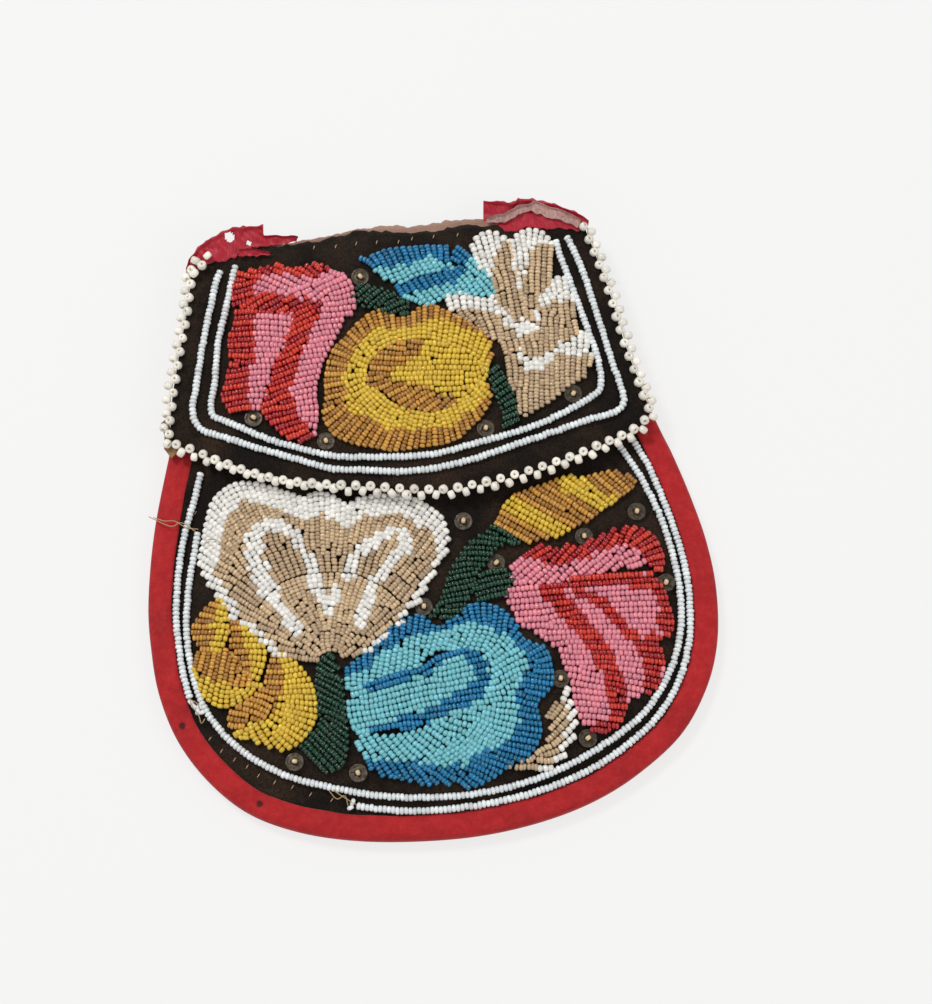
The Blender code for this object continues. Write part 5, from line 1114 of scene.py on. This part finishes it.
# how the beads are sewn, in metres: the spacing of rows, the fine step along them and their shortest run; how far
# the middle of a row and every second row of glass tubes stand up; where a neighbouring row counts and how far
# easing moves a bead at a time; what a filling bead keeps to; and how far inside the edge the front's motifs stay
sewing = {
    "row": 0.00192, "step": 0.0002, "shortest": 0.0026, "crown": 0.0005, "ridge": 0.00022, "cell": 0.0024,
    "abreast": 0.0011, "nearest": 0.0003, "farthest": 0.0033, "easeTurns": 18, "easeMost": 0.0003,
    "fillWithin": 0.0021, "fillClear": 0.0008, "fillDrop": 0.0003, "fillLowest": -0.0002, "inside": 0.0124,
}
random.seed(11)
sewn = Cells(0.003)  # each bead as its place, its width and its row, to keep later ones from growing into it
beadCount = 0
rowCount = 0


def isFree(point, across, closeness):
    for other, otherAcross, otherRow in sewn.near(point):
        if otherRow != rowCount and (other - point).length < closeness * (across + otherAcross):
            return False
    return True


def sewRun(beads, fine, begin, end, colourAt, rowTone):
    # beads of their own lengths, eased to fill the run from one fine point to another
    step, last = sewing["step"], len(fine) - 1
    run = (end - 1 - begin) * step
    if run <= sewing["shortest"]:
        return
    laid, along = [], 0.0
    while along < run:
        spot = fine[begin + min(end - 1 - begin, int(along / step))]
        colour = colourAt(spot, (begin * step + along) / (last * step))
        pitch = beadKinds[colour]["pitch"] / 1000 * random.uniform(0.95, 1.05)
        laid.append((colour, along + pitch / 2))
        along += pitch
    for colour, middle in laid:
        kind = beadKinds[colour]
        index = max(1, min(last - 1, begin + round(middle * run / along / step)))
        ahead = (fine[index + 1] - fine[index - 1]).normalized()
        bead = {"at": fine[index].copy(), "ahead": ahead, "side": Vector((-ahead.y, ahead.x)), "kind": kind,
                "across": kind["across"] / 1000, "row": rowCount, "run": (rowCount, begin),
                "tone": rowTone, "lift": sewing["crown"] * (1 - (2 * index / last - 1) ** 2)}
        if isDeep(kind):
            # every second row of glass tubes stands up and is painted paler as lit, the rows between sink and are
            # painted darker as shade
            ridge = 1.0 if kind["depth"] > 0.62 else 0.5
            bead["tone"] += ridge * (0.28 if rowCount % 2 else -0.3)
            bead["lift"] += sewing["ridge"] * ridge * (1 if rowCount % 2 else -1)
        beads.append(bead)
        sewn.add(bead["at"], (bead["at"].copy(), bead["across"], rowCount))


def sewRow(beads, ground, path, colourAt, filling=False):
    # unbroken runs of beads wherever the rows already sewn leave room; filling rows need a wider gap
    global rowCount
    rowCount += 1
    fine = evenPoints(path, sewing["step"])
    ground += fine[1:-1:3]
    closeness = 0.33 if filling else random.uniform(0.27, 0.325)
    free = [isFree(point, 0.002, closeness) for point in fine] + [False]
    rowTone = random.uniform(-0.1, 0.1)
    begin = 0
    while begin < len(fine):
        end = begin
        while free[end]:
            end += 1
        sewRun(beads, fine, begin, end, colourAt, rowTone)
        begin = end + 1


def around(beads):
    # for each bead, those of other rows near it and how far they are
    cells = Cells(sewing["cell"])
    for bead in beads:
        cells.add(bead["at"], bead)
    for bead in beads:
        others = [other for other in cells.near(bead["at"]) if other["row"] != bead["row"]]
        yield bead, [other["at"] - bead["at"] for other in others]


def sideGaps(bead, near):
    # how far the nearest rows lie on the bead's right and left, or nothing
    gaps = []
    for sign in (-1, 1):
        abreast = [apart for apart in near if abs(apart.dot(bead["ahead"])) < sewing["abreast"]]
        reach = [sign * apart.dot(bead["side"]) for apart in abreast]
        reach = [gap for gap in reach if sewing["nearest"] < gap < sewing["farthest"]]
        gaps.append(min(reach) if reach else 0)
    return gaps


def ease(beads):
    # every row settles midway between its neighbours, each run moving as one thread
    most = sewing["easeMost"]
    for turn in range(sewing["easeTurns"]):
        moves = []
        for bead, near in around(beads):
            right, left = sideGaps(bead, near)
            if right and left:
                moves.append((left - right) * 0.3)
            elif right or left:
                moves.append((bead["across"] * 0.95 - (right or left)) * (0.25 if right else -0.25))
            else:
                moves.append(0.0)
        for again in range(3):
            smoothed = []
            for index, bead in enumerate(beads):
                close = [at for at in (index - 1, index, index + 1) if 0 <= at < len(beads)]
                near = [moves[at] for at in close if beads[at]["run"] == bead["run"]]
                smoothed.append(sum(near) / len(near))
            moves = smoothed
        for bead, move in zip(beads, moves):
            bead["at"] += bead["side"] * max(-most, min(most, move))
    for bead, near in around(beads):
        gaps = [gap or bead["across"] for gap in sideGaps(bead, near)]
        bead["wide"] = max(0.94, min(1.28, 1.08 * sum(gaps) / 2 / bead["across"]))


def covers(bead, point):
    apart = point - bead["at"]
    beyond = abs(apart.dot(bead["side"])) - bead["across"] * bead["wide"] / 2
    return beyond < 0.0001 and abs(apart.dot(bead["ahead"])) < bead["kind"]["pitch"] / 2000 + 0.0003


def fillGaps(beads, ground, firstRow):
    # one more bead, a little lower and painted darker as shade, wherever the cloth would still show between the rows
    cells = Cells(sewing["cell"])
    for bead in beads:
        cells.add(bead["at"], bead)
    for point in ground:
        others = list(cells.near(point))
        if not others or any(covers(bead, point) for bead in others):
            continue
        earlier = [other for other, across, row in sewn.near(point) if row < firstRow]
        if any((other - point).length < sewing["fillClear"] for other in earlier):
            continue
        model = min(others, key=lambda bead: (bead["at"] - point).length)
        if (model["at"] - point).length < sewing["fillWithin"]:
            lift = max(model["lift"] - sewing["fillDrop"], sewing["fillLowest"])
            # painted shade: the filling bead is darker than the bead it copies
            extra = {**model, "at": point.copy(), "wide": 0.9, "lift": lift, "tone": max(model["tone"] - 0.1, -0.35)}
            beads.append(extra)
            cells.add(point, extra)


def kept(point, least):
    # the point, or the nearest one that lies far enough inside the purse's edge
    inside = insideEdge(point) if least else 0
    if inside >= least:
        return point
    spot, index, distance = edgeTree.find((point.x, point.y, 0))
    return point + edgeSides[index] * (least - inside)


def rowsOf(part, least):
    # every row as its crossings of the rails; the later ones only fill what gaps are left
    if "lines" in part:
        return [(metres(line), False) for line in part["lines"]]
    rails = [[kept(point, least) for point in metres(rail)] for rail in part["rails"]]
    longest = max(rails, key=curveLength)
    positions = evenSteps(longest, 2 * max(2, round(curveLength(longest) / sewing["row"])))
    rounds = [(at, False) for at in positions[::2]] + [(at, True) for at in positions[1::2]]
    return [([onSpline(rail, at) for rail in rails], filling) for at, filling in rounds]


def sewPart(beads, ground, part, least):
    bands = [(colour, reach / 1000, metres(line)) for colour, reach, line in part.get("bands", [])]
    over = part.get("over", 0.5) / 1000
    for crossings, filling in rowsOf(part, least):
        crossings[0] += (crossings[0] - crossings[1]).normalized() * over
        crossings[-1] += (crossings[-1] - crossings[-2]).normalized() * over
        path = [crossings[0]]
        for low, high in zip(crossings, crossings[1:]):
            path += [low.lerp(high, 0.5), high]
        lengths = [(high - low).length for low, high in zip(crossings, crossings[1:])]

        def colourAt(spot, reached):
            for colour, reach, line in bands:
                if distanceTo(line, spot) < reach:
                    return colour
            reached = reached * sum(lengths) + random.gauss(0, 0.0004)
            for colour, length in zip(part["colours"], lengths):
                if reached <= length:
                    return colour
                reached -= length
            return part["colours"][-1]

        sewRow(beads, ground, path, colourAt, filling)


def limited(tone):
    return min(1, max(0, tone))


def groundOf(name):
    # the level and the rise that a piece of that name is sewn to, and the body that carries it
    return (onFlapTop, flapRise, "flap") if name.startswith("flap") else (onFront, frontRise, "purse")


def sewMotif(name, parts):
    global beadCount
    level, rise, body = groundOf(name)
    beads, ground, firstRow = [], [], rowCount
    for part in parts:
        sewPart(beads, ground, part, 0 if body == "flap" else sewing["inside"])
    ease(beads)
    fillGaps(beads, ground, firstRow)
    mesh, toneLayer = beadMesh()
    slots = list(dict.fromkeys(bead["kind"]["name"] for bead in beads))
    for bead in beads:
        point, kind = bead["at"], bead["kind"]
        height = level + rise(point) + bead["across"] * 0.5 + bead["lift"] + random.gauss(0, 0.00005)
        heading = math.atan2(bead["ahead"].y, bead["ahead"].x) + random.gauss(0, 0.05)
        tone = limited(random.gauss(0.5, 0.12 if isDeep(kind) else 0.2) + bead["tone"])
        spot = Vector((point.x + random.gauss(0, 0.00004), point.y + random.gauss(0, 0.00004), height))
        slotIndex = slots.index(kind["name"])
        addBead(mesh, toneLayer, kind, spot, heading, random.gauss(0, 0.04), tone, slotIndex, bead["wide"])
    beadCount += len(beads)
    kinds = [beadKinds[colour] for colour in slots]
    finished("beads_" + name, mesh, [kind["surface"] for kind in kinds], body, kinds[0]["slot"], [name])


for name, parts in motifs.items():
    sewMotif(name, parts)
print("motifs", beadCount, "beads")


def sewString(name, line, least=0.0):
    global beadCount
    level, rise, body = groundOf(name)
    kind = beadKinds["pale"]
    mesh, toneLayer = beadMesh()
    spots = evenPoints([kept(point, least) for point in metres(line)], kind["pitch"] / 1000)
    for index, point in enumerate(spots):
        along = spots[min(index + 1, len(spots) - 1)] - spots[max(index - 1, 0)]
        heading = math.atan2(along.y, along.x)
        side = Vector((-math.sin(heading), math.cos(heading))) * random.gauss(0, 0.00007)
        height = level + rise(point) + kind["across"] / 1000 * 0.5 + random.gauss(0, 0.00005)
        spot = Vector((*(point + side), height))
        heading, tilt = heading + random.gauss(0, 0.07), random.gauss(0, 0.06)
        addBead(mesh, toneLayer, kind, spot, heading, tilt, limited(random.gauss(0.5, 0.22)), 0)
        beadCount += 1
    finished("beads_" + name, mesh, [kind["surface"]], body, kind["slot"], [name])


# two strings on the front, kept that far inside its edge, and two on the flap
sewString("front_bead_string_outer", frontOuterString, 0.00845)
sewString("front_bead_string_outer_left", frontOuterStringLeft, 0.00845)
sewString("front_bead_string_inner", frontInnerString, 0.01115)
sewString("flap_bead_string_outer", flapOuterString)
sewString("flap_bead_string_inner", flapInnerString)
print("strings", beadCount, "beads")

# tan sewing thread
sewingThread, tree, shader = surfaceOf("sewingThread", Roughness=0.8)
twist = noiseAt(tree, objectPlace(tree), 2600.0, 2.0)
feed(shader.inputs["Base Color"], mixColour(tree, twist, linear((150, 122, 84)), linear((206, 182, 140))))
bumpInto(tree, shader, twist, 0.4, 0.0001)

# large beads in a zigzag along the flap's edge: one on the velvet, the next beyond it
picot = {
    "pitch": 0.0043, "reach": 0.0014, "across": 0.0029, "hole": 0.13,
    "profile": [(-0.2, 0), (-0.24, 0.12), (-0.35, 0.22), (-0.36, 0.34), (-0.26, 0.46), (0, 0.5), (0.26, 0.46),
                (0.36, 0.34), (0.35, 0.22), (0.24, 0.12), (0.2, 0)],
    "atCorner": [(-57.6, 90.6, 1.2), (-55.6, 93.4, 0.3), (-60.2, 88.6, 0.6), (-59.4, 92.2, 0.2)],
}
ringBead = beadShape("ringBead", picot["profile"], 12)
for face in ringBead.polygons:
    corners = [ringBead.vertices[index].co for index in face.vertices]
    face.material_index = 1 if max(corner.yz.length for corner in corners) < picot["hole"] else 0
edgePath = metres([*reversed(flapLeft)] + flapBottom[1:] + flapRight[1:])
count = 2 * round(curveLength(edgePath) / picot["pitch"])
line = [onSpline(edgePath, at) for at in evenSteps(edgePath, count)]
picots = []
for index, point in enumerate(line):
    outward = -leftOf(line, index)
    heading = math.atan2(outward.y, outward.x)
    lying = smooth((-0.020 - point.x) / 0.01) * smooth((0.034 - point.y) / 0.01)
    if index % 2:
        point = point + outward * picot["reach"] * (1 - 0.7 * lying) * random.uniform(0.8, 1.15)
        picots.append((point, 0.0006, heading + math.pi / 2 + random.gauss(0, 0.3), random.gauss(0.15, 0.2)))
    else:
        picots.append((point - outward * 0.0003, 0.0012, heading + random.gauss(0, 0.4), random.gauss(1.0, 0.25)))
for x, y, lean in picot["atCorner"]:
    picots.append((Vector((x, y)) / 1000, 0.0021, random.uniform(0, 3), lean))
mesh, toneLayer = beadMesh()
for point, height, turn, lean in picots:
    centre = Vector((*point, levels["flapTop"] + flapEndRise(point) + height))
    across = picot["across"] * random.uniform(0.92, 1.05)
    turned = Matrix.Rotation(turn, 4, "Z") @ Matrix.Rotation(-lean, 4, "Y")
    size = Matrix.Diagonal((across, across, across, 1))
    placed = Matrix.Translation(centre) @ turned @ size
    dropIn(mesh, toneLayer, ringBead, placed, limited(random.gauss(0.55, 0.2)))
    beadCount += 1
picotSurfaces = [beadKinds["cream"]["surface"], sewingThread]
finished("beads_flap_picot_edge", mesh, picotSurfaces, "flap", "cream_beads", ["flap_picot_edge"])
print("picot edge", beadCount, "beads")

# sequins: thin cupped discs, each held down by one small bead; radius and height in millimetres
sequin = {
    "profile": [(0.7, 0.25), (1.5, 0.05), (2.3, 0.0), (2.68, 0.1), (2.75, 0.22), (2.6, 0.3), (2.3, 0.22), (1.5, 0.27),
                (0.7, 0.45)],
    "bead": {**beadKinds["clear"], "shape": roundBead, "across": 1.9, "pitch": 1.3},
    "rest": 0.0026,  # the disc rests on the highest velvet this far from its middle
    "inside": 0.015,
}
tarnished, tree, shader = surfaceOf("tarnishedDisc", Metallic=0.75, Roughness=0.42)
where = objectPlace(tree)
spots = ranged(tree, noiseAt(tree, where, 900.0, 4.0, 0.65), 0.35, 0.7)
feed(shader.inputs["Base Color"], mixColour(tree, spots, linear((52, 45, 38)), linear((104, 94, 80))))
feed(shader.inputs["Roughness"], ranged(tree, spots, 0, 1, 0.55, 0.3))
bumpInto(tree, shader, noiseAt(tree, where, 500.0, 3.0), 0.3, 0.0002)


def sewSequin(name, spot, least=0.0):
    level, rise, body = groundOf(name)
    point = kept(Vector(spot) / 1000, least)
    mesh, toneLayer = beadMesh()
    spun(mesh, [(radius / 1000, height / 1000) for radius, height in sequin["profile"]], (0, 0, 1), 28, 0.000001, True)
    addBead(mesh, toneLayer, sequin["bead"], Vector((0, 0, 0.0011)), random.uniform(0, 3), 0.15, 0.9, 1)
    rims = [point + Vector((math.cos(turn), math.sin(turn))) * sequin["rest"] for turn in range(6)]
    ground = level + max(rise(rim) for rim in rims)
    lean = Matrix.Rotation(random.gauss(0, 0.03), 4, "X") @ Matrix.Rotation(random.gauss(0, 0.03), 4, "Y")
    bmesh.ops.transform(mesh, matrix=Matrix.Translation((*point, ground + 0.0001)) @ lean, verts=mesh.verts)
    finished("disc_" + name, mesh, [tarnished, sequin["bead"]["surface"]], body, "sequin", [name])


for index, spot in enumerate(flapSequins):
    sewSequin(f"flap_sequin_{index + 1}", spot)
for index, spot in enumerate(frontSequins):
    sewSequin(f"front_sequin_{index + 1}", spot, sequin["inside"])
print("sequins")


# torn silk ribbon at both ends of the flap's top, fine ribs across it
def silkSurface(name, dark, light, faded, amount):
    made, tree, shader = surfaceOf(
        name, Roughness=0.5, Sheen_Weight=0.15, Sheen_Roughness=0.35, Specular_IOR_Level=0.3
    )
    where = objectPlace(tree)
    stretch = {"Vector": where, "Scale": (1.0, 0.18, 1.0), "Rotation": (0, 0, 0.25)}
    ribs = noiseAt(tree, addNode(tree, "ShaderNodeMapping", **stretch).outputs[0], 2400.0, 2.0, 0.5)
    worn = ranged(tree, noiseAt(tree, where, 170.0, 3.0), 0.5, 0.75, 0.0, amount)
    cloth = mixColour(tree, ranged(tree, ribs, 0.2, 0.8), linear(dark), linear(light))
    feed(shader.inputs["Base Color"], mixColour(tree, worn, cloth, linear(faded)))
    bumpInto(tree, shader, ribs, 0.5, 0.0002)
    return made


silk = silkSurface("ribbonSilk", (146, 20, 38), (200, 46, 62), (160, 24, 40), 0.5)
fadedSilk = silkSurface("fadedSilk", (150, 104, 98), (206, 170, 162), (168, 66, 76), 0.6)
ribbon = {"columns": 72, "rows": 24, "depth": 0.00022, "layerLift": 0.0012, "fold": 0.0007, "hem": 0.0011}


def ribbonPoint(low, high, part, up, layer, seed, fraying):
    at = min(part * (len(low) - 1), len(low) - 1.0001)
    index, between = int(at), at % 1
    ends = [Vector(edge[index]).lerp(Vector(edge[index + 1]), between) / 1000 for edge in (low, high)]
    point = ends[0].lerp(ends[1], up)
    fray = 0.0005 * uneven(point.x, up * 0.01, 0.0016, seed) * fraying
    ground = flapEndRise(point)
    fold = ribbon["fold"] * (0.5 + 0.5 * math.sin(point.x * 1300 + point.y * 900 + seed)) * smooth(up * 1.5)
    hem = ribbon["hem"] * smooth((up - 0.8) / 0.1) * smooth((1 - up) / 0.08)
    fold += 0.0005 * abs(uneven(point.x, point.y, 0.004, seed)) + hem
    return Vector((point.x, point.y + fray, onFlapTop + 0.0004 + ribbon["layerLift"] * layer + ground + fold))


def tornRibbon(name, strips, seed):
    joined = bmesh.new()
    columns, rows = ribbon["columns"], ribbon["rows"]
    for layer, (low, high, holes) in enumerate(strips):
        spots = []
        for row in range(rows + 1):
            fraying = 1 if row in (0, rows) else 0.15
            spots.append([
                ribbonPoint(low, high, column / columns, row / rows, layer, seed, fraying)
                for column in range(columns + 1)
            ])
        mesh = bmesh.new()
        gridOf(mesh, spots)
        for x, y, radius in holes:
            spot = Vector((x, y)) / 1000
            gone = [face for face in mesh.faces if (face.calc_center_median().xy - spot).length < radius / 1000]
            bmesh.ops.delete(mesh, geom=gone, context="FACES")
        thickened(mesh, ribbon["depth"])
        for face in mesh.faces:
            face.material_index = layer if name.endswith("right") else 0
        scrap = meshData("scrap", mesh)
        joined.from_mesh(scrap)
        bpy.data.meshes.remove(scrap)
    piece = finished("silk_" + name, joined, [silk, fadedSilk], "flap", "ribbon", [name])


tornRibbon("flap_ribbon_left", leftRibbon, 3)
tornRibbon("flap_ribbon_right", rightRibbon, 5)
print("ribbons")

# stitches that show on the velvet, loose thread ends, and beads that hang where the outer string has broken
frontStitches = [
    (-69.5, -53), (-66.5, -57), (-63, -60), (-59.5, -62.5), (-56.5, -65.5), (-52, -68), (-47, -70), (-42, -72.7),
    (-36, -75), (-66.2, 22), (-66.9, 18.5), (-67.6, 15),
]
flapStitches = [
    (-23.5, 92.5), (-16.9, 92), (-10.6, 92.2), (-4.4, 91.8), (2.2, 91.1), (6.4, 91.7), (13, 91.6), (20.3, 91.3),
]
threadEnds = [
    [(-66.5, 10), (-70, 11), (-73.4, 13.4), (-76.4, 13.8), (-79.6, 15.4)],
    [(-67, 9), (-71.2, 12.6), (-74.8, 12), (-81, 15.8)],
    [(-64, 6), (-61.4, 5.2), (-58.6, 2.8), (-55, 2)],
    [(-25, -12), (-22.6, -12.6), (-21.4, -15), (-19, -16)],
    [(-74, -39.5), (-73, -43), (-71.6, -45.4), (-71, -48), (-69.8, -46.6)],
    [(-73.6, -40.5), (-71.6, -42.2), (-70.6, -45.4)],
    [(-36, -72), (-34, -74.6), (-31.6, -74), (-31, -77)],
    [(-28, -77.3), (-30.6, -75.4), (-33.4, -73.2), (-35.2, -71.4)],
]
looseBeads = [
    (-73.6, -41.2), (-72.7, -42.6), (-71.2, -43), (-70.7, -44.6), (-71.8, -44.2), (-29.6, -75.9), (-30.4, -77.4),
]


def sewThreads(name, lines, radius, rise, level, body, arch):
    mesh = bmesh.new()
    for line in lines:
        spots = evenPoints(line, 0.0005)
        path = []
        for index, point in enumerate(spots):
            lift = arch * math.sin(math.pi * (index / (len(spots) - 1))) + radius
            rim = levels["rimTop"] if insideEdge(point) < 0.0076 else 0
            path.append(Vector((*point, max(rise(point) + level, rim) + lift)))
        tubeAlong(mesh, path, radius)
    finished(name, mesh, [sewingThread], body, "lining")


# radius, and how far above the velvet or over the beads a thread lies
thread = {"stitch": 0.00016, "end": 0.00014, "low": 0.0016, "overBeads": 0.0029}
frontTicks = [metres([(x, y), (x + 0.9, y + 1.1)]) for x, y in frontStitches]
flapTicks = [metres([(x, y - 0.6), (x + 0.5, y + 0.7)]) for x, y in flapStitches]
sewThreads("stitches_front", frontTicks, thread["stitch"], frontRise, onFront, "purse", 0.0002)
sewThreads("stitches_flap", flapTicks, thread["stitch"], flapRise, onFlapTop, "flap", 0.0002)
lowEnds = [metres(end) for end in threadEnds]
highEnds = [lowEnds.pop(2), lowEnds.pop(2)]  # these two lie over beads
sewThreads("thread_ends_front", lowEnds, thread["end"], frontRise, onFront + thread["low"], "purse", 0.0006)
sewThreads("thread_ends_beads", highEnds, thread["end"], frontRise, onFront + thread["overBeads"], "purse", 0.0008)
mesh, toneLayer = beadMesh()
for point in metres(looseBeads):
    centre = Vector((*point, onFront + frontRise(point) + 0.0011))
    addBead(mesh, toneLayer, beadKinds["pale"], centre, random.uniform(0, 3), 0.2, 0.6, 0)
finished("beads_front_loose", mesh, [beadKinds["pale"]["surface"]], "purse", "pale_beads")

# a sliver of the card that shows at the flap's lower left corner
sliver = [(-74.6, 43.6), (-72.6, 45), (-71, 38), (-70.6, 34), (-72.4, 32.4), (-74.4, 35.6), (-73.9, 39.6)]
level = levels["flapVelvet"] - 0.0001 + flapRise(Vector((-0.072, 0.038)))
mesh = bmesh.new()
face = mesh.faces.new([mesh.verts.new((*point, level)) for point in metres(sliver)])
if face.normal.z < 0:
    face.normal_flip()
thickened(mesh, 0.0005)
finished("card_sliver", mesh, [cardSurface], "flap", "card", smoothShade=False)
print("threads and loose beads")

for shape in (roundBead, tubeBead, ringBead):
    bpy.data.meshes.remove(shape)
